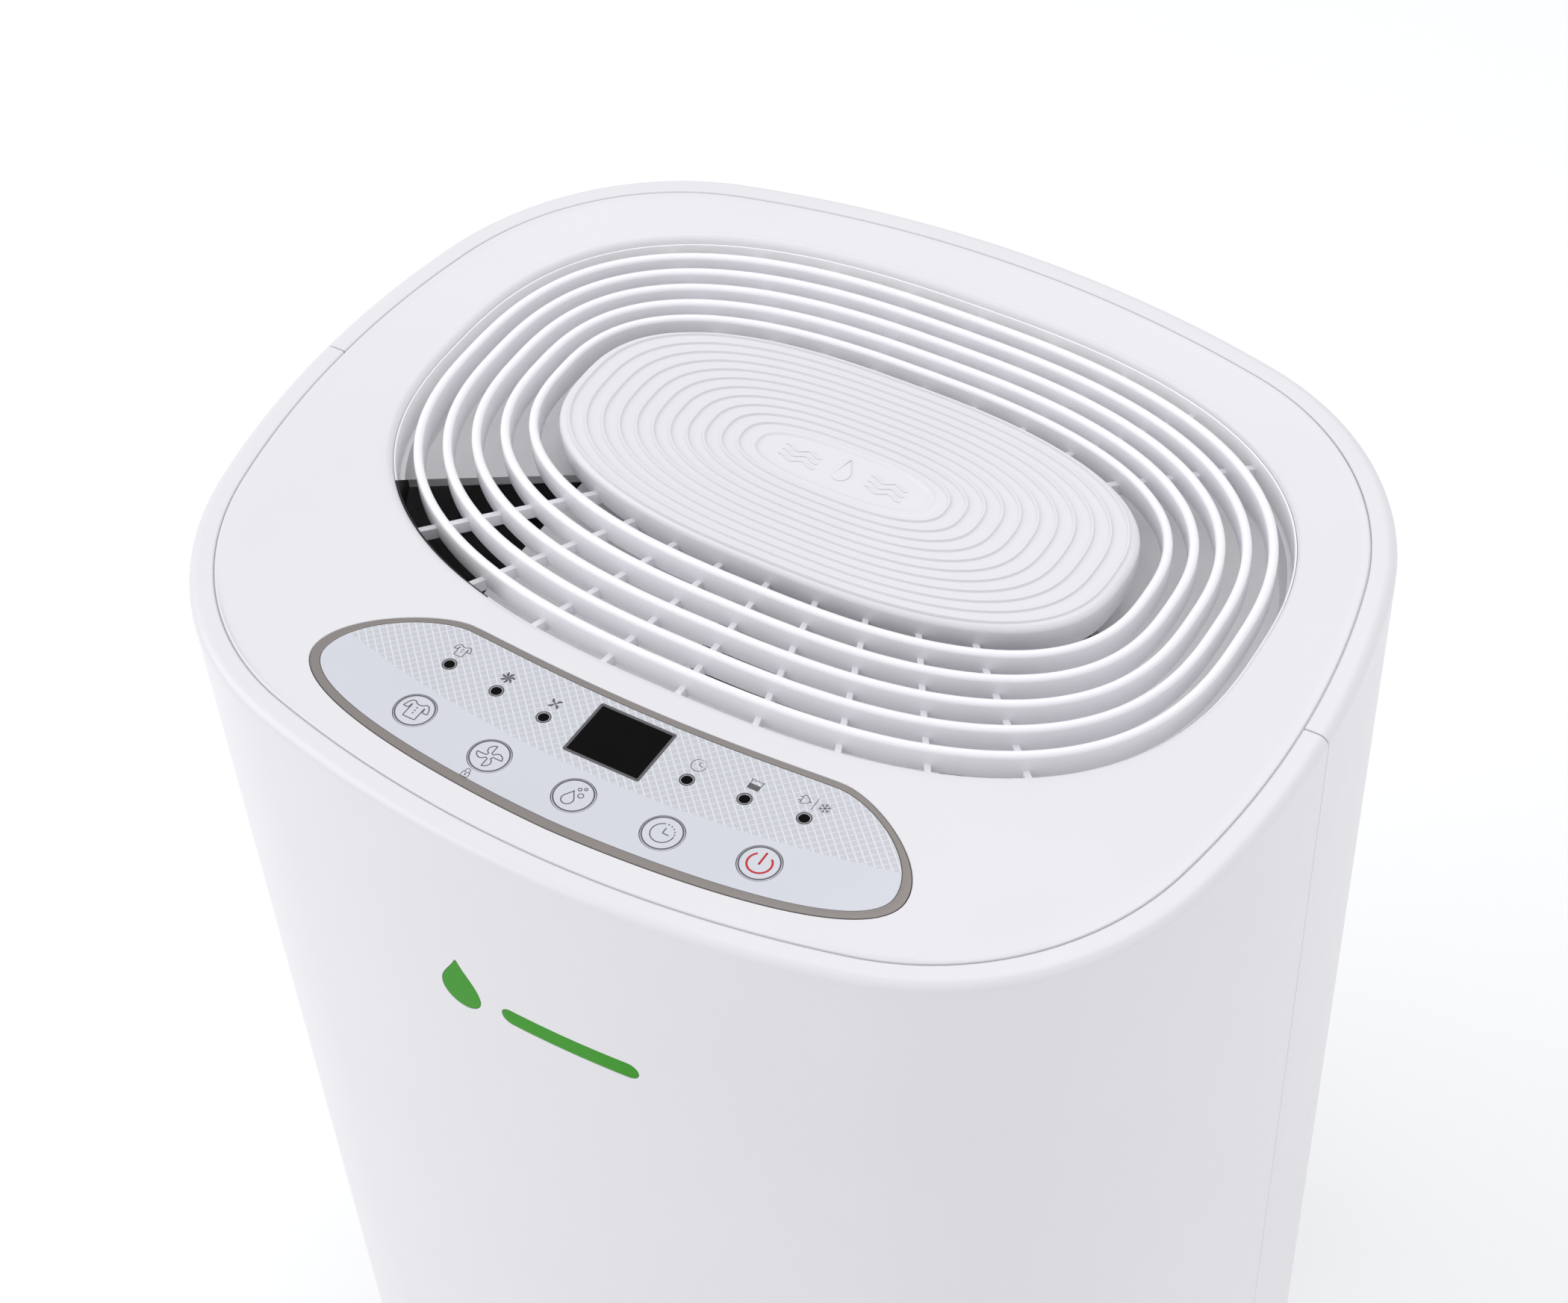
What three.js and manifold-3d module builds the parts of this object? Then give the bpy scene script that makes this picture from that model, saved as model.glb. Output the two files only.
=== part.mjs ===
// A free-standing compressor dehumidifier, standing on its four feet.
// Millimetres. The origin is on the floor under the middle of the casing, +Z is up,
// the front with the control panel faces -Y, and X runs across the width.
import * as THREE from 'three';
import { mergeVertices } from 'three/addons/utils/BufferGeometryUtils.js';
import Module from 'manifold-3d';

const wasm = await Module();
wasm.setup();

// ---- driving dimensions ----
const width = 322;
const depth = 272.3;
const height = 490;
const gap = 0.3;

const casing = {
  frontRadius: 356,
  sideRadius: 258,
  cornerRadius: 90,
  wall: 3,
  bottom: 9,
  rimWidth: 7.2,
  rimThickness: 4,
  edgeBevel: 3.5,
  seamY: 2,
};
const footHeight = 9;
const trayFloor = 13;
const cover = { underside: 483, clearance: 0.6 };
const opening = { halfWidth: 130, halfDepth: 87.4, y: 25.4, drop: 3.3 };
const dish = { halfWidth: 149, halfDepth: 124, y: 0, rise: 0.2 };
const ovalPower = 2.6;

const ring = { count: 5, thickness: 2.6, top: height - 3.8, depth: 6 };
const firstRing = { halfWidth: 95.6, halfDepth: 48.9, y: 29.9 };
const lastRing = { halfWidth: 124.3, halfDepth: 80.2, y: 25.9 };
const disc = { halfWidth: 88.3, halfDepth: 41.9, y: 29.8, top: height - 2.6, thickness: 6 };
const medallion = { halfWidth: 27.9, halfDepth: 8.3, depth: 0.8 };
const spoke = { perSide: 9, innerPitch: 15.4, outerPitch: 24.7, reach: 5, width: 1.8, height: 4 };

const panel = { y: -95, top: height - 1.3, slope: 0.05, lens: 1.2, pocket: 1.5, well: 3.1 };
const key = { radius: 5.9, flange: 7.2, flangeLow: -2.3, stem: 3, stemLow: -7 };
const keyNames = ['laundry_key', 'fan_key', 'humidity_key', 'timer_key', 'power_key'];
const keyPlaces = [[-53.2, -102.8], [-26.64, -106.5], [0, -107.1], [26.64, -106.5], [53.2, -102.8]];
const lampPlaces = [
  [-55.2, -84.5], [-38.6, -86.45], [-22.3, -88.2], [22.3, -88.2], [38.6, -86.45], [55.2, -84.5],
];
const lampRadius = 1.5;
const guide = { low: -9.6, high: -7.6, front: 4.6, back: 13 };
const display = { halfWidth: 11, low: -94.4, high: -76.9 };
const board = { low: -11.6, top: -10 };

const intake = {
  halfWidth: 104, low: 226, high: 400, thickness: 3, margin: 0.6, topMargin: 1, rows: 12, slot: 8,
};
const filter = { inset: 4, border: 7, bar: 3, back: 8 };
const grip = { halfWidth: 58, low: 412, high: 444, front: 98, wall: 2.5 };
const screwPlaces = [[-112, 458], [112, 458]];
const inlet = { x: 96, z: 214, radius: 9, bore: 4, front: 108, back: 127 };
const drain = { x: -96, z: 213, radius: 11, bore: 7, front: 113, back: 124 };

const bay = { halfWidth: 115, low: 12.4, high: 200, front: 32, wall: 2 };
const tank = { halfWidth: 113, low: 13.4, high: 193, front: 38, wall: 2.5 };
const floatPivot = { x: 60, y: 52, z: 178 };
const trayBox = { halfWidth: 84, front: 34, back: 110, low: 206, high: 224, wall: 3 };

const coil = { halfWidth: 100, low: 232, high: 396 };
const evaporator = { front: 84, back: 106 };
const condenser = { front: 48, back: 74 };
const blower = { x: 12, z: 330 };
const scroll = { tongue: 80, outer: 104, wall: 2.5, front: -36, back: 26, top: 131, inletRadius: 50 };
const fan = { radius: 66, front: -28, back: 18, blades: 16, shaft: 4 };
const motor = { radius: 40, front: -98, back: -44 };
const duct = { floor: 462, top: 475, throatLeft: -12, throatRight: 86 };
const compressor = { x: -48, y: -57, z: 36, radius: 56, height: 152 };
const grommetRing = 66;
const grommetPlaces = [90, 210, 330].map((angle) => [
  grommetRing * Math.cos((angle * Math.PI) / 180),
  grommetRing * Math.sin((angle * Math.PI) / 180),
]);
const badge = { z: height - 66, depth: 0.8, dropX: -26, barLeft: -12, barRight: 31, barHalf: 3.2 };

// ---- materials ----
const finish = (color, roughness, metalness = 0) =>
  new THREE.MeshStandardMaterial({ color, roughness, metalness });
const white = () => finish(0xe4e3e8, 0.38);
const bezelGrey = () => finish(0x8c8580, 0.3);
const lensGrey = () => finish(0xdadee6, 0.15);
const darkGlass = () => finish(0x0c0c0d, 0.08);
const greyPlastic = () => finish(0xb9b9be, 0.5);
const blackPlastic = () => finish(0x1b1b1c, 0.55);
const rubber = () => finish(0x222222, 0.9);
const steel = () => finish(0xa7a9ab, 0.35, 0.9);
const blackSteel = () => finish(0x17181a, 0.45, 0.3);
const aluminium = () => finish(0xc8cacc, 0.4, 0.9);
const copper = () => finish(0xb96b42, 0.35, 0.95);
const badgeGreen = () => finish(0x2f9a3c, 0.4);
const circuitGreen = () => finish(0x1f6b3a, 0.6);
const smokedPlastic = () => finish(0xaeb9c2, 0.2);
const meshGrey = () => finish(0x55585c, 0.8);

// ---- solids and booleans ----
function toSolid(geometry) {
  const positionOnly = geometry.clone();
  positionOnly.deleteAttribute('normal');
  positionOnly.deleteAttribute('uv');
  const merged = mergeVertices(positionOnly, 1e-4);
  return new wasm.Manifold(new wasm.Mesh({
    numProp: 3,
    vertProperties: new Float32Array(merged.attributes.position.array),
    triVerts: new Uint32Array(merged.index.array),
  }));
}

function toGeometry(solid) {
  const mesh = solid.getMesh();
  const geometry = new THREE.BufferGeometry();
  geometry.setAttribute('position', new THREE.BufferAttribute(mesh.vertProperties, 3));
  geometry.setIndex(new THREE.BufferAttribute(mesh.triVerts, 1));
  geometry.computeVertexNormals();
  return geometry;
}

const join = (...geometries) =>
  toGeometry(geometries.map(toSolid).reduce((sum, next) => sum.add(next)));
const cut = (body, ...tools) =>
  toGeometry(tools.map(toSolid).reduce((rest, tool) => rest.subtract(tool), toSolid(body)));
const common = (a, b) => toGeometry(toSolid(a).intersect(toSolid(b)));

// ---- shapes ----
// A box given by its lowest and highest corners.
function block(low, high) {
  const size = high.map((value, axis) => value - low[axis]);
  const middle = high.map((value, axis) => (value + low[axis]) / 2);
  return new THREE.BoxGeometry(...size).translate(...middle);
}

function rod(radius, low, high, sides = 20) {
  return new THREE.CylinderGeometry(radius, radius, high - low, sides)
    .rotateX(Math.PI / 2)
    .translate(0, 0, (low + high) / 2);
}

// A cylinder along Y.
function axleRod(radius, low, high, sides = 24) {
  return new THREE.CylinderGeometry(radius, radius, high - low, sides).translate(0, (low + high) / 2, 0);
}

function prism(shape, low, high, curveSegments = 3, bevel = 0) {
  return new THREE.ExtrudeGeometry(shape, {
    depth: high - low - 2 * bevel,
    curveSegments,
    bevelEnabled: bevel > 0,
    bevelSize: bevel,
    bevelThickness: bevel,
    bevelOffset: -bevel,
    bevelSegments: 2,
  }).translate(0, 0, low + bevel);
}

// A tube of the given radius along a curve, with closed ends.
function tubeAlong(points, radius, steps, sides = 8) {
  const section = new THREE.Shape().absarc(0, 0, radius, 0, 2 * Math.PI);
  const route = new THREE.CatmullRomCurve3(points.map((point) => new THREE.Vector3(...point)));
  return new THREE.ExtrudeGeometry(section, {
    steps, extrudePath: route, curveSegments: sides / 2, bevelEnabled: false,
  });
}

// The plan of the casing moved inwards: four large arcs, each tangent to the corner arcs beside it.
function casingPlan(inset) {
  const halfWidth = width / 2 - inset;
  const halfDepth = depth / 2 - inset;
  const frontRadius = casing.frontRadius - inset;
  const sideRadius = casing.sideRadius - inset;
  const corner = casing.cornerRadius - inset;
  const frontCentre = halfDepth - frontRadius;
  const sideCentre = halfWidth - sideRadius;
  const toFront = frontRadius - corner;
  const toSide = sideRadius - corner;
  // The corner centre is toFront away from (0, frontCentre) and toSide away from (sideCentre, 0).
  const span = Math.hypot(sideCentre, frontCentre);
  const along = (toFront ** 2 - toSide ** 2 + span ** 2) / (2 * span);
  const across = Math.sqrt(toFront ** 2 - along ** 2);
  const [unitX, unitY] = [sideCentre / span, -frontCentre / span];
  const cornerX = along * unitX + across * unitY;
  const cornerY = frontCentre + along * unitY - across * unitX;
  const frontAngle = Math.atan2(cornerY - frontCentre, cornerX);
  const sideAngle = Math.atan2(cornerY, cornerX - sideCentre);
  const shape = new THREE.Shape();
  const quarter = Math.PI / 2;
  shape.absarc(sideCentre, 0, sideRadius, -sideAngle, sideAngle);
  shape.absarc(cornerX, cornerY, corner, sideAngle, frontAngle);
  shape.absarc(0, frontCentre, frontRadius, frontAngle, 2 * quarter - frontAngle);
  shape.absarc(-cornerX, cornerY, corner, 2 * quarter - frontAngle, 2 * quarter - sideAngle);
  shape.absarc(-sideCentre, 0, sideRadius, 2 * quarter - sideAngle, 2 * quarter + sideAngle);
  shape.absarc(-cornerX, -cornerY, corner, 2 * quarter + sideAngle, 2 * quarter + frontAngle);
  shape.absarc(0, -frontCentre, frontRadius, 2 * quarter + frontAngle, 4 * quarter - frontAngle);
  shape.absarc(cornerX, -cornerY, corner, 4 * quarter - frontAngle, 4 * quarter - sideAngle);
  return shape;
}

// A rounded oval: a superellipse, fuller than an ellipse.
function oval(halfWidth, halfDepth, y, points = 28) {
  const corners = Array.from({ length: points }, (_, index) => {
    const angle = (2 * Math.PI * index) / points;
    const [c, s] = [Math.cos(angle), Math.sin(angle)];
    return new THREE.Vector2(
      halfWidth * Math.sign(c) * Math.abs(c) ** (2 / ovalPower),
      y + halfDepth * Math.sign(s) * Math.abs(s) ** (2 / ovalPower),
    );
  });
  return new THREE.Shape(corners);
}

function ovalRing(halfWidth, halfDepth, y, thickness, low, high, points = 28) {
  const half = thickness / 2;
  const shape = oval(halfWidth + half, halfDepth + half, y, points);
  shape.holes.push(oval(halfWidth - half, halfDepth - half, y, points));
  return prism(shape, low, high);
}

// The smile-shaped outline of the control panel, in the panel's own plane, moved inwards.
function panelPlan(side, bottom, top) {
  const [noseX, noseY] = [90.98 - side, -1];
  const [humpX, humpY] = [58.2, 25.53 - top];
  const [bottomY, dipY] = [-25.2 + bottom, 22.9 - top];
  const bottomBulge = [12.5, -22.7 + bottom];
  const shoulder = [68.35, 12.2];
  const [dipStart, dipEnd] = [29.2, 52.7];
  const shape = new THREE.Shape();
  shape.moveTo(0, bottomY);
  shape.bezierCurveTo(bottomBulge[0], bottomY, noseX, bottomBulge[1], noseX, noseY);
  shape.bezierCurveTo(noseX, shoulder[1], shoulder[0], humpY, humpX, humpY);
  shape.bezierCurveTo(dipEnd, humpY, dipStart, dipY, 0, dipY);
  shape.bezierCurveTo(-dipStart, dipY, -dipEnd, humpY, -humpX, humpY);
  shape.bezierCurveTo(-shoulder[0], humpY, -noseX, shoulder[1], -noseX, noseY);
  shape.bezierCurveTo(-noseX, bottomBulge[1], -bottomBulge[0], bottomY, 0, bottomY);
  return shape;
}

// ---- casing ----
// The closed skin of the casing with its top rim, before it is split into front and rear halves.
function casingShell() {
  const skin = prism(casingPlan(0), casing.bottom, height, 3, casing.edgeBevel);
  const inside = prism(casingPlan(casing.wall), casing.bottom - 5, height - casing.rimThickness);
  const mouth = prism(casingPlan(casing.rimWidth), height - 2 * casing.rimThickness, height + 5);
  return cut(skin, inside, mouth);
}

function frontHousing() {
  const keep = block([-width, -depth, 0], [width, casing.seamY - gap / 2, height + 1]);
  const pockets = [dropShape(gap), barShape(gap)].map((shape) => uprightPrism(shape, -depth, 0, 6));
  const pocketSkin = casingPlan(-5);
  pocketSkin.holes.push(casingPlan(badge.depth));
  const skin = prism(pocketSkin, badge.z - 40, badge.z + 40);
  return cut(common(casingShell(), keep), ...pockets.map((pocket) => common(pocket, skin)));
}

// A water drop standing on the front wall, in the XZ plane.
function dropShape(margin) {
  const [x, z] = [badge.dropX, badge.z];
  const [round, tip] = [6.6 + margin, 11.5 + margin];
  const shape = new THREE.Shape();
  shape.moveTo(x, z + tip);
  shape.bezierCurveTo(x + 1.5, z + tip - 5, x + round, z + 2, x + round, z - 3.2);
  shape.absarc(x, z - 3.2, round, 0, -Math.PI, true);
  shape.bezierCurveTo(x - round, z + 2, x - 1.5, z + tip - 5, x, z + tip);
  return shape;
}

function barShape(margin) {
  const half = badge.barHalf + margin;
  const [left, right] = [badge.barLeft + badge.barHalf, badge.barRight - badge.barHalf];
  const shape = new THREE.Shape();
  shape.absarc(right, badge.z - 3, half, -Math.PI / 2, Math.PI / 2);
  shape.absarc(left, badge.z - 3, half, Math.PI / 2, (3 * Math.PI) / 2);
  return shape;
}

// An inlay follows the front wall's curve, flush with it.
function inlay(shape) {
  const skinShape = casingPlan(0);
  skinShape.holes.push(casingPlan(badge.depth - gap));
  return common(uprightPrism(shape, -depth, 0, 6), prism(skinShape, badge.z - 40, badge.z + 40));
}

function rearHousing() {
  const keep = block([-width, casing.seamY + gap / 2, 0], [width, depth, height + 1]);
  const intakeHole = block([-intake.halfWidth, 60, intake.low], [intake.halfWidth, depth, intake.high]);
  const bayHole = block([-bay.halfWidth, 60, bay.low], [bay.halfWidth, depth, bay.high]);
  const gripHole = block([-grip.halfWidth, 60, grip.low], [grip.halfWidth, depth, grip.high]);
  const inletHole = axleRod(inlet.radius + gap, 60, depth).translate(inlet.x, 0, inlet.z);
  const drainHole = axleRod(drain.radius + gap, 60, depth).translate(drain.x, 0, drain.z);
  const screwHoles = screwPlaces.map(([x, z]) => axleRod(2.4, 60, depth, 12).translate(x, 0, z));
  const screwSeats = screwPlaces.map(([x, z]) => axleRod(4.4, screwSeat(x), depth, 14).translate(x, 0, z));
  const holes = [intakeHole, bayHole, gripHole, inletHole, drainHole, ...screwHoles, ...screwSeats];
  return cut(common(casingShell(), keep), ...holes);
}

function gripCup() {
  const half = grip.halfWidth;
  const outer = common(
    prism(casingPlan(casing.wall + gap), grip.low - grip.wall, grip.high + grip.wall),
    block([-half - grip.wall, grip.front, 0], [half + grip.wall, depth, height]),
  );
  const inner = block([-half, grip.front + grip.wall, grip.low], [half, depth, grip.high]);
  return cut(outer, inner);
}

function topCover() {
  const plate = join(
    prism(casingPlan(casing.rimWidth + cover.clearance), cover.underside, height),
    prism(casingPlan(casing.wall + cover.clearance), cover.underside, cover.underside + 2.7),
  );
  const { halfWidth, halfDepth, y: middle } = opening;
  const hole = prism(oval(halfWidth, halfDepth, middle), cover.underside - 5, height + 5);
  const pocket = prism(panelPlan(-gap, -gap, -gap), -panel.pocket, 10, 4);
  const through = -9;
  const wells = rodsAt(keyPlaces, key.flange + 0.4, -panel.well, 0, 12);
  const stemHoles = rodsAt(keyPlaces, key.stem + 2 * gap, through, 0, 10);
  const lampHoles = rodsAt(lampPlaces, lampRadius + gap, through, 0, 8);
  const tools = [pocket, ...wells, ...stemHoles, ...lampHoles, displayBlock(gap, through, 0)];
  return cut(plate, dishTool(), hole, ...tools.map(tiltOntoPanel));
}

// Upright rods in the control panel's own plane, one at each place on the cover.
function rodsAt(places, radius, low, high, sides) {
  return places.map(([x, y]) => rod(radius, low, high, sides).translate(x, y - panel.y, 0));
}

// A block over the display, moved outwards by a margin, in the panel's own plane.
function displayBlock(margin, low, high) {
  return block(
    [-display.halfWidth - margin, display.low - panel.y - margin, low],
    [display.halfWidth + margin, display.high - panel.y + margin, high],
  );
}

// The shallow funnel that leads from the rim down to the outlet opening.
function dishTool() {
  const low = height - opening.drop;
  const high = height + dish.rise;
  const funnel = prism(oval(opening.halfWidth, opening.halfDepth, 0), low, high);
  const position = funnel.attributes.position;
  for (let index = 0; index < position.count; index += 1) {
    const upper = position.getZ(index) > (low + high) / 2;
    const stretchX = upper ? dish.halfWidth / opening.halfWidth : 1;
    const stretchY = upper ? dish.halfDepth / opening.halfDepth : 1;
    const y = position.getY(index) * stretchY + (upper ? dish.y : opening.y);
    position.setX(index, position.getX(index) * stretchX);
    position.setY(index, y);
  }
  return funnel;
}

// Moves a geometry from the control panel's own plane to its place on the cover.
function tiltOntoPanel(geometry) {
  return geometry.rotateX(-Math.atan(panel.slope)).translate(0, panel.y, panel.top);
}

function baseTray() {
  const floor = prism(casingPlan(casing.wall + gap), footHeight + gap, trayFloor, 3);
  const rim = casingPlan(casing.wall + gap);
  rim.holes.push(casingPlan(casing.wall + gap + 3));
  const mouth = bay.halfWidth + bay.wall + 1;
  const bayMouth = block([-mouth, 60, trayFloor], [mouth, depth, 60]);
  const wallRing = cut(prism(rim, 11, 30), bayMouth);
  const divider = block([-bay.halfWidth, bay.front - 4, 11], [bay.halfWidth, bay.front - 1, 30]);
  return join(floor, wallRing, divider);
}

function foot() {
  return new THREE.CylinderGeometry(12, 14, footHeight, 20)
    .rotateX(Math.PI / 2)
    .translate(0, 0, footHeight / 2);
}

// The floor of a screw's counterbore, sunk into the curved rear wall at a given x.
function screwSeat(x) {
  const centre = depth / 2 - casing.frontRadius;
  return centre + Math.sqrt(casing.frontRadius ** 2 - x ** 2) - 1.2;
}

function rearScrew() {
  const head = axleRod(3.8, gap, 2, 12);
  const shank = axleRod(2, -9, 0.5, 10);
  return join(head, shank);
}

// ---- air outlet ----
function ringSize(index) {
  const share = index / (ring.count - 1);
  return ['halfWidth', 'halfDepth', 'y'].map(
    (name) => firstRing[name] + share * (lastRing[name] - firstRing[name]),
  );
}

function outletGrille() {
  const bottom = ring.top - ring.depth;
  const rings = Array.from({ length: ring.count }, (_, index) =>
    ovalRing(...ringSize(index), ring.thickness, bottom, ring.top));
  const { halfWidth, halfDepth, y } = disc;
  const seatTop = disc.top - disc.thickness - gap;
  const seat = ovalRing(halfWidth - 4, halfDepth - 4, y, 5, bottom - 2, seatTop);
  const mouth = [opening.halfWidth + 2, opening.halfDepth + 2, opening.y];
  const frame = ovalRing(...mouth, 8, bottom - 4, cover.underside - gap);
  const middle = (spoke.perSide - 1) / 2;
  const spokes = Array.from({ length: spoke.perSide }, (_, index) => index - middle)
    .flatMap((step) => [spokeBar(step, -1, bottom), spokeBar(step, 1, bottom)]);
  return join(frame, seat, ...rings, ...spokes);
}

// A spoke in front of (-1) or behind (+1) the disc fans out from under it into the frame.
function spokeBar(step, side, ringBottom) {
  const discEdge = ovalEdge(disc, step * spoke.innerPitch, side);
  const wallEdge = ovalEdge(opening, step * spoke.outerPitch, side);
  const along = wallEdge.clone().sub(discEdge);
  const middle = discEdge.clone().add(wallEdge).multiplyScalar(0.5);
  return new THREE.BoxGeometry(along.length() + 2 * spoke.reach, spoke.width, spoke.height)
    .rotateZ(Math.atan2(along.y, along.x))
    .translate(middle.x, middle.y, ringBottom + 0.6 - spoke.height / 2);
}

// The point at x on the front (-1) or back (+1) of an oval.
function ovalEdge({ halfWidth, halfDepth, y }, x, side) {
  const share = (1 - Math.abs(x / halfWidth) ** ovalPower) ** (1 / ovalPower);
  return new THREE.Vector2(x, y + side * halfDepth * share);
}

function centreDisc() {
  const plate = prism(
    oval(disc.halfWidth, disc.halfDepth, disc.y),
    disc.top - disc.thickness, disc.top, 3, 1.2,
  );
  const recess = prism(
    oval(medallion.halfWidth, medallion.halfDepth, disc.y, 24),
    disc.top - medallion.depth, disc.top + 2,
  );
  return cut(plate, recess);
}

// ---- control panel, in the panel's own plane ----
// The bezel is widest at the sides and narrowest along the top.
const bezelWidth = [2.9, 2.7, 1.8];

function controlBezel() {
  const shape = panelPlan(0, 0, 0);
  shape.holes.push(panelPlan(...bezelWidth));
  return prism(shape, -panel.pocket + gap, 0.1, 4);
}

function controlLens() {
  const plate = prism(panelPlan(...bezelWidth.map((size) => size + gap)), -panel.lens, 0, 4);
  const keyHoles = rodsAt(keyPlaces, key.radius + 2 * gap, -5, 5, 14);
  const lampHoles = rodsAt(lampPlaces, lampRadius + gap, -5, 5, 8);
  return cut(plate, ...keyHoles, ...lampHoles, displayBlock(gap, -5, 5));
}

// A key turned from its top face down: cap, retaining flange, stem.
function pushKey() {
  const flangeTop = -panel.lens - gap;
  const profile = [
    [0, 0], [key.radius - 0.4, 0], [key.radius, -0.4], [key.radius, flangeTop],
    [key.flange, flangeTop], [key.flange, key.flangeLow], [key.stem, key.flangeLow],
    [key.stem, key.stemLow], [0, key.stemLow],
  ];
  const points = profile.map(([radius, z]) => new THREE.Vector2(radius, z)).reverse();
  return new THREE.LatheGeometry(points, 14).rotateX(Math.PI / 2);
}

// The control board carries a tact switch under each key.
function controlBoard() {
  const plate = block([-68, -18, board.low], [68, 20, board.top]);
  const bodies = keyPlaces.map(([x, y]) =>
    block([-3, -3, board.top - 0.5], [3, 3, board.top + 1.6]).translate(x, y - panel.y, 0));
  const plungers = rodsAt(keyPlaces, 1.6, board.top + 1, board.top + 2.2, 12);
  return join(plate, ...bodies, ...plungers);
}

// One light guide serves the three lamps of a side: three posts on a strip.
function lightGuide(side) {
  const places = lampPlaces.filter(([x]) => Math.sign(x) === side);
  const posts = rodsAt(places, lampRadius, guide.low, 0, 8);
  const ends = [places[0], places[places.length - 1]].map(([x]) => x);
  const strip = block(
    [Math.min(...ends) - 3, guide.front, guide.low],
    [Math.max(...ends) + 3, guide.back, guide.high],
  );
  return join(strip, ...posts);
}

// ---- water ----
// A recess in the tank's back wall, with its own wall inside, is the finger pull.
function waterTank() {
  const inner = tank.wall;
  const outer = common(
    prism(casingPlan(0), tank.low, tank.high),
    block([-tank.halfWidth, tank.front, 0], [tank.halfWidth, depth, height]),
  );
  const hollow = common(
    prism(casingPlan(inner + 1), tank.low + inner, tank.high + 10),
    block(
      [-tank.halfWidth + inner, tank.front + inner, 0],
      [tank.halfWidth - inner, depth, height],
    ),
  );
  const pull = block([-42, 118, 142], [42, depth, 166]);
  const pullWall = common(prism(casingPlan(1), 120, 180), block([-45, 112, 139], [45, depth, 169]));
  return cut(join(cut(outer, hollow), pullWall), pull);
}

function tankLid() {
  const plate = common(
    prism(casingPlan(1), tank.high + gap, tank.high + 4),
    block([-tank.halfWidth, tank.front, 0], [tank.halfWidth, depth, height]),
  );
  const inletHole = rod(14, 100, 300).translate(0, 74, 0);
  const pourHole = block([-100, 40, 100], [-70, 70, 300]);
  return cut(plate, inletHole, pourHole);
}

// The float's arm turns about the X axis through the origin; the bob hangs at its end.
function tankFloat() {
  const hub = new THREE.CylinderGeometry(3.5, 3.5, 18, 16).rotateZ(Math.PI / 2);
  const arm = block([-3, 1, -1.5], [3, 34, 1.5]);
  const bob = block([-9, 18, -26], [9, 40, -1]);
  const bore = new THREE.CylinderGeometry(1.6, 1.6, 30, 12).rotateZ(Math.PI / 2);
  return cut(join(hub, arm, bob), bore);
}

function floatBracket() {
  const top = tank.high - floatPivot.z;
  const sides = [-1, 1].map((side) =>
    block([Math.min(side * 10.5, side * 13.5), -5, -5], [Math.max(side * 10.5, side * 13.5), 5, top]));
  const bridge = block([-13.5, -5, top - 3], [13.5, 5, top]);
  const pin = new THREE.CylinderGeometry(1.2, 1.2, 25, 12).rotateZ(Math.PI / 2);
  return join(...sides, bridge, pin);
}

function bayLiner() {
  const { halfWidth, wall, front, high } = bay;
  const outer = common(
    prism(casingPlan(casing.wall + 1), trayFloor + gap, high + wall),
    block([-halfWidth - wall, front, 0], [halfWidth + wall, depth, height]),
  );
  const inner = block([-halfWidth, front + wall, 0], [halfWidth, depth, high]);
  const spoutHole = rod(7.5, 100, 300).translate(0, 74, 0);
  return cut(outer, inner, spoutHole);
}

// A micro switch that senses whether the tank is in place, with its lever on a short post.
function tankSwitch() {
  const body = block([-10, -12, -7], [10, 0, 7]);
  const post = block([6, -8, 5], [8, -4, 8]);
  const lever = block([-8, -13, 7], [8, -1, 9]);
  return join(body, post, lever);
}

// The tray under the evaporator, with a spout down into the tank's lid.
function dripTray() {
  const { halfWidth, front, back, low, high, wall } = trayBox;
  const outer = block([-halfWidth, front, low], [halfWidth, back, high]);
  const inner = block(
    [-halfWidth + wall, front + wall, low + wall],
    [halfWidth - wall, back - wall, high + 1],
  );
  const spout = rod(6, tank.high + 5, low + 1, 16).translate(0, 74, 0);
  const bore = rod(4, 190, low + 5, 16).translate(0, 74, 0);
  return cut(join(cut(outer, inner), spout), bore);
}

function drainPort() {
  return cut(axleRod(drain.radius, drain.front, drain.back, 24), axleRod(drain.bore, 0, depth, 20));
}

function drainCap() {
  const plug = axleRod(drain.bore - gap, drain.back - 8, drain.back + 1, 20);
  const head = axleRod(drain.radius - 1, drain.back + gap, drain.back + 3.5, 24);
  const tab = block([-3, drain.back + 3, -8], [3, drain.back + 7.5, 8]);
  return join(plug, head, tab);
}

function inletBush() {
  return cut(axleRod(inlet.radius, inlet.front, inlet.back, 24), axleRod(inlet.bore, 0, depth, 16));
}

// ---- air path ----
// A prism that stands on edge: its shape lies in the XZ plane and it runs along Y.
function uprightPrism(shape, front, back, curveSegments = 3) {
  return prism(shape, -back, -front, curveSegments).rotateX(Math.PI / 2);
}

// The blower's scroll with its chimney, about the fan axis: the radius grows steadily from the tongue.
function scrollShape(inset, top) {
  const steps = 20;
  const start = (100 * Math.PI) / 180;
  const points = Array.from({ length: steps + 1 }, (_, index) => {
    const angle = start + ((2 * Math.PI - start) * index) / steps;
    const radius = scroll.tongue + ((scroll.outer - scroll.tongue) * index) / steps - inset;
    return new THREE.Vector2(radius * Math.cos(angle), radius * Math.sin(angle));
  });
  const chimneyLeft = points[0].x;
  points.push(new THREE.Vector2(scroll.outer - inset, top), new THREE.Vector2(chimneyLeft + inset, top));
  return new THREE.Shape(points);
}

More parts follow.
